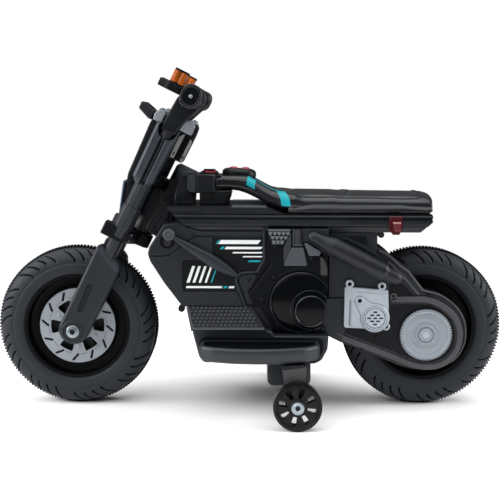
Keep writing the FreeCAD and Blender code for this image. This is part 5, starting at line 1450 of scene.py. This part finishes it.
def TREAD(p):
    x, h, v = p
    return (x, 126 - 28 * v / SL + 37 / SL * h, 174 + 37 * v / SL + 28 / SL * h)


tread = Acc()
face = [(110.4, -4.2), (121.4, 46), (-4.2, 46), (-31.5, -4.2)]
tread.slab(fillet(face, 1.5), -3.2, 0, edge=0.5, lo_edge=0, mat=0, tf=TREAD)
frame_line = [(-27.5, -1.2), (108.4, -1.2), (118.6, 45)]
tread.slab(strip(frame_line, 2.9, 2.9), -1, 1.9, edge=1.0, lo_edge=0, mat=1, tf=TREAD)
for r in range(6):
    v = 6.2 + 7.4 * r
    for k in range(18):
        x = 102.6 - 8.3 * k + (4.15 if r % 2 else 0) + 0.21 * v
        if x < -28 + 0.545 * v + 6.5 or x > 105.4 + 0.21 * v:
            continue
        tread.lathe([(0, 2.1), (1.3, 1.9), (2.4, 1.0), (3.0, 0), (3.1, -0.6), (0, -0.6)], 10, mat=2,
                    loop=False, tf=lambda p, x=x, v=v: TREAD((x + p[0] * 1.08, p[1], v + p[2] * 0.92)))
piece(tread.mirror(), "grip_tread_plates", [M_FIELD, M_KNOB, M_KNOB], "chassis", "tread_plates",
      sharp=40)


def footboard(side):
    a = Acc()
    plan = fillet([(93, 124.5), (93, 174), (68, 191.5), (28, 202.5), (-12, 206), (-58, 202.5), (-104, 189), (-131, 163),
                   (-131, 124.5)], [10, 18, 40, 80, 80, 80, 40, 18, 10], 5)
    rings = []
    for off, z in ((13, 121.8), (9.0, 122.0), (5.4, 123.2), (2.6, 126), (1.0, 130.2), (0.2, 136.8), (0, 142.6),
                   (0.4, 147.2), (1.8, 149.8), (4.0, 151.2), (6.4, 151.6), (8.0, 151.0), (9.2, 149.2),
                   (9.8, 146.4), (10.4, 144.0)):
        rings.append([(x, y, z) for x, y in offset(plan, off)])
    a.loft(rings)
    n = len(rings[0])
    # The inner wall of the lip and the floor cap take the near-black mat finish: on the wall it is painted shade inside
    # the tray.
    for i in range(len(a.f)):
        if 11 * n <= i < 14 * n or i == len(a.f) - 1:
            a.m[i] = 1
    inner = offset(plan, 10.6)
    a.slab(inner, 141.6, 144.8, axis="Z", edge=0.4, mat=1)
    for k in range(11):
        x = 70 - 17.8 * k
        if side == "right" and -4 < x < 84:
            continue
        far = lerp(x, [-131, -108, -58, -12, 28, 68, 93], [150, 171, 187, 191, 187, 177, 160])
        a.slab(fillet([(x - 4.2, 139), (x + 4.2, 139), (x + 4.2, far), (x - 4.2, far)], 3), 144.4, 146.0,
               axis="Z", edge=0.7, mat=1)
    a.slab(fillet([(70, 121), (76, 121), (75, 124), (71, 124)], 1), 150, 160, edge=0.5)
    b = a if side == "left" else a.flipped()
    piece(b, "foot_tray_" + side, [M_TRAY, M_MAT_AND_SHADE], "chassis", "footboard_" + side, sharp=34)


footboard("left")
footboard("right")

pedal = Acc().slab(fillet([(10, 150.2), (10.5, 154.5), (14, 157), (74, 167), (76, 163.5), (18, 153),
                           (17, 149), (14, 147.6), (11.5, 148.5)], [1, 2, 3, 1.5, 1.5, 2, 1, 1, 1], 3),
                   -186, -142, edge=1.2)
for k in range(6):
    x = 24 + 8.2 * k
    z = 157 + (x - 14) * 10 / 60
    pedal.box(x - 2.2, x + 2.2, -181, -147, z - 1.2, z + 1.4, 0.7, mat=1)
piece(pedal, "throttle_pedal", [M_BODY2, M_MAT_AND_SHADE], "pedal", "accelerator_pedal", sharp=30)

# ------------------------------------------------------------- rear case
case = Acc()
outl = [(-149, 343), (-151, 222), (-150.6, 165), (-178.3, 137.7), (-215.3, 124), (-291.4, 92.7),
        (-318, 86.6), (-342, 84.9), (-368, 88), (-389.5, 98.6), (-405, 115), (-414.6, 136), (-417.4, 157),
        (-414, 181), (-403.4, 203), (-386.6, 220.6), (-366, 232), (-346, 236.8), (-336, 238.6),
        (-329, 243.4), (-303, 281.6), (-288, 291), (-278, 301.5), (-263.5, 312.5), (-243.4, 322.6), (-242.4, 353), (-236, 354.8),
        (-149, 354.8)]
outer = fillet(outl, [2, 3, 6, 10] + [20] * 14 + [8, 8, 6, 5, 6, 6, 3, 2, 2, 2], 3)
case.slab(outer, 46, 84.5, edge=3.2, lo_edge=1.5)
loop = [(-270.5, 223.8), (-336, 224.2), (-356.8, 218.4), (-378.2, 205.4), (-394.8, 187.6), (-403.6, 165),
        (-404.2, 143.2), (-397.6, 122.2), (-382.4, 104), (-360.6, 93.6), (-336, 92.2), (-312, 97.6),
        (-270.2, 114), (-216.6, 134.2), (-180, 148.2), (-152.4, 160.4)]
band = [loop[0]] + smooth_line(loop[1:], 4)
case.slab(strip(band, 5.6, 5.6), 82, 90.4, edge=1.8, lo_edge=0, mat=1)
lip = smooth_line([(-330.5, 243.0), (-340, 239.0), (-352, 236.4), (-368, 230.8), (-386.4, 219.0), (-402.6, 202),
                   (-413, 180.6), (-416.2, 157), (-413.4, 136.2), (-404, 115.6), (-389, 99.6)], 4)
case.slab(strip(lip, 1.5, 1.5), 82, 87.6, edge=0.9, lo_edge=0, mat=1)
diag = [(-246, 318.6), (-263.6, 309.2), (-276.4, 298.8), (-287, 287.8), (-302.4, 278.4), (-332.4, 240.6)]
case.slab(strip(diag, 2.2, 2.2), 82, 88.2, edge=1.2, lo_edge=0, mat=1)
diag2 = [(-264, 297), (-287.6, 273.6), (-299.8, 261.0), (-324.0, 232.6)]
case.slab(strip(diag2, 2.0, 2.0), 82, 88.2, edge=1.2, lo_edge=0, mat=1)
case.slab(fillet([(-262, 304), (-275, 297), (-290, 284.6), (-330.6, 242), (-324, 234.5), (-299.4, 262.6),
                  (-287.2, 275.6)], 2), 82, 86.6, edge=0.8, lo_edge=0)
case.slab(fillet([(-268, 254.8), (-293.6, 252.6), (-314.4, 231.4), (-268, 232.4)], 2.5), 82, 85.1, edge=0.3,
          lo_edge=0, mat=2)
inside = offset(fillet([(-268, 217), (-336.8, 217.2), (-356, 212), (-375.4, 199.8), (-389.8, 183.6), (-397.4, 163),
                        (-398, 144.4), (-392, 124.8), (-377.4, 108.8), (-357, 100), (-334.6, 99.6), (-308, 107.2),
                        (-270, 122.4), (-216.2, 142.4), (-154, 168.4), (-154.4, 217)], 6, 3), 0.5)
case.slab(inside, 82, 85.2, edge=0.3, lo_edge=0, mat=2)
seg_pts = [(-270, 216.2), (-337, 216.6), (-356, 211.2), (-374.8, 199.2), (-389.0, 183.2), (-396.4, 163),
           (-397, 144.6), (-391.2, 125.4), (-377.0, 109.6), (-357, 101), (-334.8, 100.4), (-308, 108),
           (-270, 123.2), (-216.4, 143.2), (-153, 169.6)]
belt = smooth_line(seg_pts, 8)
run, due = 0.0, 0.0
for p, q in zip(belt[:-1], belt[1:]):
    d = Vector((q[0] - p[0], q[1] - p[1]))
    size = d.length
    d.normalize()
    while due <= run + size:
        c = Vector(p) + d * (due - run)
        case.slab([(-1.25, -1.9), (1.25, -1.9), (1.25, 1.9), (-1.25, 1.9)], 84.6, 88.0, edge=0.4, seg=1, mat=1,
                  tf=FRAME((c.x, 0, c.y), (d.x, 0, d.y), (0, 1, 0), (-d.y, 0, d.x)))
        due += 5.0
    run += size
front_up = [(-150.6, 353), (-150.8, 226), (-262, 226), (-262, 262), (-254, 300), (-240, 314), (-238, 345),
            (-232, 353)]
case.slab(fillet(front_up, 2), 82, 88, edge=1.4, lo_edge=0)
case.slab(strip([(-151.4, 222.6), (-268, 222.6)], 1.7, 1.7), 82, 89.4, edge=1.0, lo_edge=0, mat=1)
case.slab(fillet([(-152.2, 217.6), (-180, 217.6), (-180, 161), (-152.2, 172.4)], 1.5), 84, 86.6, edge=0.8, lo_edge=0)
for x, z in ((-344.4, 231.6), (-411.4, 143.6), (-389.6, 103.0), (-217, 126.6)):
    case.slab(fillet([(x - 3, z - 2.6), (x + 3, z - 2.6), (x + 3, z + 2.6), (x - 3, z + 2.6)], 0.8), 82, 89, edge=0.5,
              lo_edge=0, mat=2)
case.lathe([(0, 87.6), (2.6, 87.6), (3.2, 86.8), (3.4, 84), (0, 84)], 20, loop=False, mat=2, tf=SHIFT(-244.4, 0, 149.6))
case.lathe([(3.2, 88.6), (4.0, 90.4), (6.6, 90.4), (7.4, 88.6), (7.4, 82), (3.2, 82)], 28, tf=SHIFT(-275, 0, 229.6),
           mat=1)
case.lathe([(0, 87.0), (3.2, 87.0), (3.2, 84), (0, 84)], 20, loop=False, mat=2, tf=SHIFT(-275, 0, 229.6))
case.slab(fillet([(-226, 354.4), (-229, 324), (-240, 318.5), (-242.6, 322), (-242.6, 354.4)], 1.5), 66, 87, edge=1.5)
case.tube([(-250.0, 68, 348.2), (-250.0, 84, 348.2)], 6.0, 24)
case.slab(fillet([(-242, 356), (-242, 351), (-250, 350), (-250, 356)], 1), 66, 86, edge=0.8)
case.slab(fillet([(-98.8, 360.6), (-148.4, 360.6), (-148.4, 312), (-136, 318.4), (-109, 335.6), (-99.6, 336)], 1), 93, 101.5,
          edge=1.2, mat=3)
case.slab(fillet([(-184, 346), (-220, 346), (-227, 329.5), (-204, 333)], 1.5), 84, 89.2, edge=0.9, lo_edge=0, mat=2)
case.slab(fillet(strip([(-179, 343), (-191, 338), (-206, 331.6), (-222, 320.6), (-238, 312.6)], 3.1, 3.1), 1.2), 86, 91.6,
          edge=1.2, lo_edge=0, mat=3)
toe = [(-147.2, 226), (-139.9, 187), (-136.2, 165.8), (-142, 157.6), (-178, 138.6), (-186, 170), (-186, 226)]
case.loft([[(x, y0 + (y1 - y0) * min(1.0, max(0.0, (-148 - x) / 32)), z) for x, z in offset(fillet(toe, [1, 4, 3, 3, 3, 4, 1], 4), off)]
           for off, y0, y1 in ((0, 80, 80), (0, 92.0, 87.6), (0.5, 92.9, 88.2), (1.6, 93.4, 88.4))])
case.slab(strip([(-146.4, 224.4), (-180, 224.4)], 1.5, 1.5), 86, 93.8, edge=0.9, lo_edge=0, mat=3)
case.slab(strip([(-141, 166), (-178.4, 147.6)], 1.3, 1.3), 86, 93.8, edge=0.8, lo_edge=0, mat=3)
for nm, node, a in (("rear_case_shell_left", "rear_case_left", case),
                    ("rear_case_shell_right", "rear_case_right", case.flipped())):
    piece(a, nm, [M_BODY, M_BAND, M_FIELD, M_BODY2], "chassis", node, sharp=28)

# ---------------------------------------------------- silver box, gear, pipes
side = Acc()
flat = [(-180.8, 249.6), (-264.2, 243.2), (-266.2, 187), (-254, 178), (-246, 169.2), (-226, 168.4), (-180.2, 170.4)]
side.slab(fillet(flat, [4, 4, 4, 4, 4, 6, 4], 4), 88.3, 97.6, edge=1.6, lo_edge=0.4)
inner = [(-193.6, 224.4), (-204, 240.8), (-262.2, 236.6), (-263.6, 190), (-252, 180.4), (-244, 172.4), (-230, 172.2), (-191.6, 173.6)]
side.slab(fillet(inner, [4, 6, 4, 4, 4, 4, 6, 4], 4), 93, 99.6, edge=3.8, lo_edge=0, seg=4)
for x, z, r in ((-190.6, 254.8, 8.0), (-252.2, 250.6, 7.6), (-261.4, 172.6, 7.4)):
    side.lathe([(3.7, 90.4), (3.7, 96.4), (4.5, 97.4), (r - 1.2, 97.4), (r, 96.4), (r, 90.4)], 36, tf=SHIFT(x, 0, z))
    # Black hole bottoms in the lugs: painted shade.
    side.lathe([(0, 93.4), (3.8, 93.4), (3.8, 90.0), (0, 90.0)], 24, loop=False, mat=2, tf=SHIFT(x, 0, z))
swirl = ring(-239.2, 190.2, 38.4, 30, math.radians(38), math.radians(205), False)
boss = [(-209.4, 223.7)]
lobe = ring(-209.4, 223.4, 9.2, 14, math.radians(-40), math.radians(150), False)
plate = ring(-239.2, 190.2, 38.4, 18, math.radians(100), math.radians(158), False)
hump = (ring(-239.2, 190.2, 27.6, 56, math.radians(88), math.radians(366), False)
        + fillet([(-211.0, 199.0), (-203.6, 213.6)], 0)
        + ring(-208.5, 223.5, 8.6, 16, math.radians(-30), math.radians(126), False)
        + fillet([(-222.0, 226.4), (-231.0, 219.6)], 0))
side.slab(offset(hump, -0.8), 90, 99.95, edge=0.2, lo_edge=0, seg=1, mat=1)
side.slab(hump, 89, 101.4, edge=1.2, lo_edge=0)
AT_G = SHIFT(-239.2, 0, 190.2)
side.lathe([(23.2, 99), (23.2, 101.6), (24.2, 103.0), (25.4, 103.0), (26.6, 101.8), (27.2, 99)], 72, tf=AT_G)
side.lathe([(19.6, 99), (19.8, 103.2), (20.8, 104.9), (22.2, 104.9), (23.2, 103.2), (23.4, 99)], 72, tf=AT_G)
grl = Acc().lathe([(0, 104.6), (12, 104.5), (17.6, 104.0), (19.0, 102.8), (19.7, 99), (0, 99)], 72, loop=False)
slots = Acc()
for z, xs in ((11.8, (0,)), (6.0, (-5.8, 5.8)), (0.1, (-11.6, 0, 11.6)), (-5.8, (-5.8, 5.8)), (-11.7, (0,))):
    for x in xs:
        slots.slab(fillet([(x - 3.8, z - 1.6), (x + 3.8, z - 1.6), (x + 3.8, z + 1.6), (x - 3.8, z + 1.6)], 0.9, 3),
                   101.4, 110, edge=0)
grl.cut(slots)
side.merge(grl, AT_G)
# Black disc under the grille slots: painted shade in the slots.
side.slab(ring(-239.2, 190.2, 17.4, 40), 99, 101.7, edge=0, mat=2)
side.lathe([(0, 101.4), (3.9, 101.4), (4.2, 103), (5.2, 103.9), (7.0, 103.8), (8.0, 102.6), (8.2, 99), (0, 99)], 36,
           loop=False, tf=SHIFT(-209.4, 0, 223.6))
# Black centre of the boss: painted shade in its hole.
side.lathe([(0, 102.4), (1.8, 102.3), (3.6, 101.9), (3.7, 101), (0, 101)], 24, loop=False, mat=2,
           tf=SHIFT(-209.4, 0, 223.6))
side.slab(strip([(-191.8, 224), (-190.4, 175)], 0.8, 0.8), 97, 98.6, edge=0.5, lo_edge=0, mat=1)
side.slab(strip([(-182, 248), (-193.4, 224.8)], 0.8, 0.8), 97, 98.8, edge=0.5, lo_edge=0)
piece(side.mirror(), "motor_side_boxes", [M_SILVER, M_GROOVE, M_BLACK_SHADE], "chassis", "side_covers",
      sharp=28)

gear = Acc()
TEETH = 58
gear.lathe([(50.0, 88.3), (50.0, 92.0), (49.2, 92.8), (47.4, 93.2), (46.8, 94.4), (45.6, 95.0), (44.4, 94.8), (43.4, 93.8),
            (42.4, 91.8), (41.4, 90.6), (40.2, 90.3), (38.6, 90.5), (30.4, 90.9), (28.8, 90.6), (27.4, 89.7), (25.8, 89.5),
            (23.4, 89.8), (22.0, 90.4), (21.2, 91.8), (20.6, 93.8), (19.4, 95.0), (17.6, 95.0), (16.6, 94.0), (16.0, 92.6),
            (15.2, 92.2), (14.4, 92.0), (13.4, 91.0), (13.0, 88.3)], 144)
for k in range(TEETH):
    w = 2 * PI * k / TEETH
    gear.slab([(46.6, -1.25), (51.8, -1.45), (51.8, 1.45), (46.6, 1.25)], 91, 94.6, edge=0.7, seg=2,
              tf=FRAME((0, 0, 0), (math.cos(w), 0, math.sin(w)), (0, 1, 0), (-math.sin(w), 0, math.cos(w))))
# A darker ring under the teeth: painted shade in the gaps between them.
gear.lathe([(50.6, 88.3), (50.8, 90.4), (50.2, 91.2), (47.6, 91.2), (47.6, 88.3)], 144, mat=1)
gear.lathe([(13.9, 88.5), (13.9, 93.4), (13.0, 94.6), (11.4, 95.2), (9.4, 94.9), (8.4, 94.2), (5.2, 94.2), (5.2, 88.5)], 64)
gears = Acc().merge(gear, lambda p: (p[0] * 0.968 - 338.6, p[1], p[2] * 0.968 + 155.9)).mirror()
piece(gears, "gear_hub_discs", [M_HUB, M_PANEL], "chassis", "gear_discs", sharp=28)

pipe = Acc()
pd = Vector((-0.8988, 0, -0.4384)).normalized()
pn = Vector((-pd.z, 0, pd.x))
ALONG = FRAME((-109.2, 112, 351.0), pn, pd, (0, 1, 0))
prof = [(0, 0), (3.6, 0.7), (6.6, 2.5), (9.0, 5.3), (10.5, 9.0), (11.1, 13), (11.4, 20), (12.0, 27), (13.4, 34), (15.4, 41),
        (17.0, 47.6), (17.7, 50), (18.0, 56), (18.3, 74), (18.5, 100), (18.5, 117.0), (18.1, 118.0), (17.3, 118.7), (17.7, 119.8),
        (17.8, 150), (17.5, 157), (16.8, 160.6), (15.4, 162.8), (13.9, 164.2), (13.2, 165.8), (12.9, 168.4), (12.9, 182),
        (12.4, 187.0), (10.9, 191.6), (8.4, 195.2), (4.8, 197.4), (0, 198)]
pipe.lathe(prof, 72, loop=False, tf=ALONG)
pipe.slab(fillet([(-128, 346), (-152, 336), (-152, 326), (-124, 338)], 2), 95, 108, edge=1.2, mat=1)
pipe.slab(fillet([(-196, 318), (-208, 312), (-208, 301), (-196, 306)], 2), 90, 108, edge=1.2, mat=1)
piece(pipe.mirror(), "exhaust_pipes", [M_MUFF, M_MUFF], "chassis", "mufflers", sharp=30)

tail = Acc()
tl = [(-262.4, 385.8), (-286.8, 385.8), (-286.2, 360), (-281.6, 350.2), (-269.8, 350.2), (-261.8, 360)]
tail.slab(fillet(tl, [3, 3, 3, 2, 2, 3], 4), 98.3, 106, edge=2.0, lo_edge=0.6)
tail.slab(fillet([(-269.0, 372.0), (-284.0, 372.0), (-283.4, 356.6), (-271.2, 356.6)], 1.6), 104, 107.2, edge=1.0, mat=1)
# The pale bar across the top of the lamp window is a painted highlight.
tail.slab(fillet([(-268.9, 374.9), (-284.2, 374.9), (-284.0, 371.4), (-269.1, 371.4)], 0.8), 104, 107.8, edge=0.8, mat=2)
for k in range(4):
    tail.slab([(-271.8, 358.4 + 3.4 * k), (-282.6, 358.4 + 3.4 * k), (-282.6, 359.6 + 3.4 * k), (-271.8, 359.6 + 3.4 * k)],
              106.8, 107.6, edge=0.3, seg=1, mat=1)
piece(tail.mirror(), "tail_lamps", [M_RED, M_RED2, M_LAMP_HIGHLIGHT], "chassis", "tail_lights", sharp=30)

fend = Acc()
arc_out = ring(-341.5, 158, 168, 28, math.radians(28), math.radians(60), False)
arc_in = ring(-341.5, 158, 164, 28, math.radians(60), math.radians(28), False)
fend.slab(arc_out + arc_in, -45.5, 45.5, edge=1.2)
piece(fend, "rear_mudguard", M_FRAME, "chassis", "rear_fender", sharp=30)

# ------------------------------------------------------------- stabilisers
blk = Acc()
blk.slab(fillet([(-35, 104.4), (-35, 53), (-43, 45), (-112, 45), (-120, 53), (-120, 104.4)], [1, 10, 10, 10, 10, 1], 5),
         -62, 62, edge=5)
blk.slab(fillet([(-32, 104.4), (-32, 99), (-123, 99), (-123, 104.4)], 1.5), -65, 65, edge=1.5)
piece(blk, "stabiliser_mount", M_BODY2, "chassis", "stabiliser_block", sharp=34)

legs = Acc()
shape = [(62.3, 62), (62.3, 100), (150, 104), (168, 104), (182, 97), (187, 82), (187, 34), (175, 34), (173, 76),
         (160, 85), (100, 76)]
legs.slab(fillet(shape, [2, 3, 20, 10, 12, 16, 2, 2, 10, 16, 20], 5), -108, -66, axis="X", edge=2.0)
legs.slab(fillet([(-60.6, 109.5), (-104.6, 115.0), (-102.6, 40), (-70, 40)], [1.5, 1.5, 3, 3], 4), 185, 188.6, edge=1.2, mat=1)
legs.slab(fillet([(-58.6, 117.5), (-107.6, 118.5), (-105.4, 40), (-67, 40)], [1.5, 1.5, 3, 3], 4), 180, 186.4, edge=0.8)
piece(legs.mirror(), "stabiliser_arms", [M_FRAME, M_PLATE], "chassis", "stabiliser_legs", sharp=30)


def caster(side, node, body):
    s = 1 if side == "left" else -1
    a = Acc().lathe([(10.6, 190.4), (14, 190.4), (15.0, 191.4), (15.2, 195.6), (17, 196.4), (32.6, 196.4), (33.6, 195.4),
                     (34.2, 191), (35.4, 190), (42.2, 190), (44.2, 190.8), (45, 192.8), (45, 211.2), (44.2, 213.2),
                     (42.2, 214), (39.4, 214), (38.4, 213.2), (37.8, 210.4), (36.8, 209.6), (17, 209.6), (15.2, 210.4),
                     (15.0, 212.4), (14.0, 213.4), (10.6, 213.4)], 96)
    win = Acc()
    for k in range(8):
        w = math.radians(32 + 45 * k)
        win.slab(fillet([(18.2, -3.6), (35.4, -5.6), (35.4, 5.6), (18.2, 3.6)], 1.4, 3), 185, 220, edge=0,
                 tf=FRAME((0, 0, 0), (-math.cos(w), 0, math.sin(w)), (0, 1, 0), (math.sin(w), 0, math.cos(w))))
    a.cut(win)
    a.lathe([(5.1, 192), (10.8, 192), (10.8, 212.6), (5.1, 212.6)], 40)
    b = Acc().merge(a, SHIFT(-88, 0, 45))
    if s < 0:
        b = b.flipped()
    piece(b, "caster_wheel_" + side, M_RIM2, body, node, sharp=30)


M_RIM2 = mat("caster_black", ink(0.0018), rough=0.34, spec=0.22, bump=0.3)
caster("left", "stabiliser_wheel_left", "stabiliser_wheel_l")
caster("right", "stabiliser_wheel_right", "stabiliser_wheel_r")

bolts = Acc()
for x, z, y in ((-338.6, 155.9, 94.6),):
    bolts.lathe([(0, y + 0.6), (4.4, y + 0.6), (6.0, y + 0.2), (7.0, y - 0.8), (7.0, y - 6), (0, y - 6)], 32, loop=False,
                tf=SHIFT(x, 0, z), mat=2)
bolts.lathe([(0, 215.6), (4.2, 215.6), (4.6, 217.6), (6.2, 219), (8.2, 218.8), (9.6, 217.6), (11.6, 217.0), (12.0, 216.2),
             (12.0, 214.4), (5.0, 214.4), (5.0, 170), (0, 170)], 40, loop=False, tf=SHIFT(-88, 0, 45))
# Dark disc in the bolt head's socket: painted shade.
bolts.lathe([(0, 217.0), (3.9, 216.8), (4.1, 215.0), (0, 215.0)], 24, loop=False, mat=1, tf=SHIFT(-88, 0, 45))
for x, z in ((-46.4, 326), (-44.6, 268.5), (-22.6, 225.5), (-52, 176.5), (-115.5, 304.6), (-139, 169.5)):
    bolts.bolt((x, 105.9, z), 3.4, 1.6, mat=3, n=20, socket=0.35)
piece(bolts.mirror(), "chassis_fasteners", [M_STEEL, M_SOCKET_SHADE, M_SILVER, M_FRAME], "chassis", "body_fasteners",
      sharp=30)

# ------------------------------------------------ nodes carried over as packed
KEEP = {"rear_axle": M_STEEL, "steering_stem": M_FRAME, "upper_bracket": M_FRAME,
        "head_tube": M_FRAME, "drive_motor": M_STEEL, "motor_pinion": M_STEEL, "drive_gear": M_GEAR,
        "control_box": M_FIELD, "speaker": M_FRAME, "battery": M_FIELD}
for n, m in KEEP.items():
    o = NODES[n]
    o.data.materials.clear()
    o.data.materials.append(m)

lug = Acc()
lug.slab(fillet([(-38, 232), (-38, 317), (-50, 317), (-72, 300), (-80, 262), (-70, 229)], 4), -30, 30, edge=2, tf=FORK)
for t, b in ((244, -49), (262, -52), (280, -50), (298, -48)):
    for s in (1, -1):
        lug.bolt(FORK((b, 29.6 * s, t)), 3.0, 2.2, mat=1, n=16, side=s)
for s in (1, -1):
    lug.slab(fillet([(-41, 296), (-41, 347), (-54, 352), (-80, 340), (-80, 296)], 3), min(26 * s, 40 * s), max(26 * s, 40 * s),
             edge=1.5, tf=FORK, mat=2)
lug.slab(fillet([(-58, 240), (-57, 292), (-66, 292), (-70, 262), (-66, 240)], 3), -33, 33, edge=1.5, tf=FORK)
piece(lug, "head_lug", [M_FRAME, M_BODY2, M_FIELD], "chassis", None, sharp=30)

# ------------------------------------------------------------ stage and light
for m in SPARE:
    bpy.data.materials.remove(m)

fl = bpy.data.meshes.new("floor")
fl.from_pydata([(x, y, 0) for x, y in ring(0, 0, 1.35, 96)], [], [tuple(range(96))])
floor = bpy.data.objects.new("floor", fl)
bpy.context.scene.collection.objects.link(floor)
fl.materials.append(mat("floor_white", (0.90, 0.90, 0.90), rough=0.9, var=0.004, spec=0.0, bump=0.0, blotch=3))
floor.location.z = -0.0004

world = bpy.data.worlds.new("studio")
bpy.context.scene.world = world
world.use_nodes = True
wn = world.node_tree
bg = wn.nodes["Background"]
lp = wn.nodes.new("ShaderNodeLightPath")
mx = wn.nodes.new("ShaderNodeMapRange")
mx.inputs["To Min"].default_value = 0.12
mx.inputs["To Max"].default_value = 1.0
wn.links.new(lp.outputs["Is Camera Ray"], mx.inputs["Value"])
wn.links.new(mx.outputs["Result"], bg.inputs["Strength"])
bg.inputs["Color"].default_value = (1, 1, 1, 1)
sun = bpy.data.lights.new("sky_box", "SUN")
sun.energy = 4.0
sun.angle = math.radians(100)
so = bpy.data.objects.new("sky_box", sun)
so.rotation_euler = (-Vector((0.22, 0.16, 1.0))).to_track_quat("-Z", "Y").to_euler()
bpy.context.scene.collection.objects.link(so)


def area(name, at, to, size, power, size_y=None):
    la = bpy.data.lights.new(name, "AREA")
    la.energy = power
    la.size = size
    if size_y:
        la.shape = "RECTANGLE"
        la.size_y = size_y
    o = bpy.data.objects.new(name, la)
    o.location = at
    o.rotation_euler = (Vector(to) - Vector(at)).to_track_quat("-Z", "Y").to_euler()
    bpy.context.scene.collection.objects.link(o)
    return o


area("key", (1.5, 2.1, 1.5), (0.1, 0, 0.3), 1.3, 11)
area("left", (2.2, 0.34, 0.9), (0.2, 0, 0.35), 0.9, 36)
area("rear", (-2.3, 0.34, 1.0), (-0.2, 0, 0.3), 0.9, 40)

cam = bpy.data.cameras.new("camera")
cam.sensor_width = 36
cam.lens = 72.86
cam.clip_start = 0.05
co = bpy.data.objects.new("camera", cam)
co.location = (0, 2.0, 0.568)
rot = Euler((math.radians(90 - 7.43), 0, PI)).to_matrix().to_4x4() @ Matrix.Rotation(math.radians(0.21), 4, "Z")
co.rotation_euler = rot.to_euler()
bpy.context.scene.collection.objects.link(co)
bpy.context.scene.camera = co
bpy.context.scene.view_settings.view_transform = "Standard"
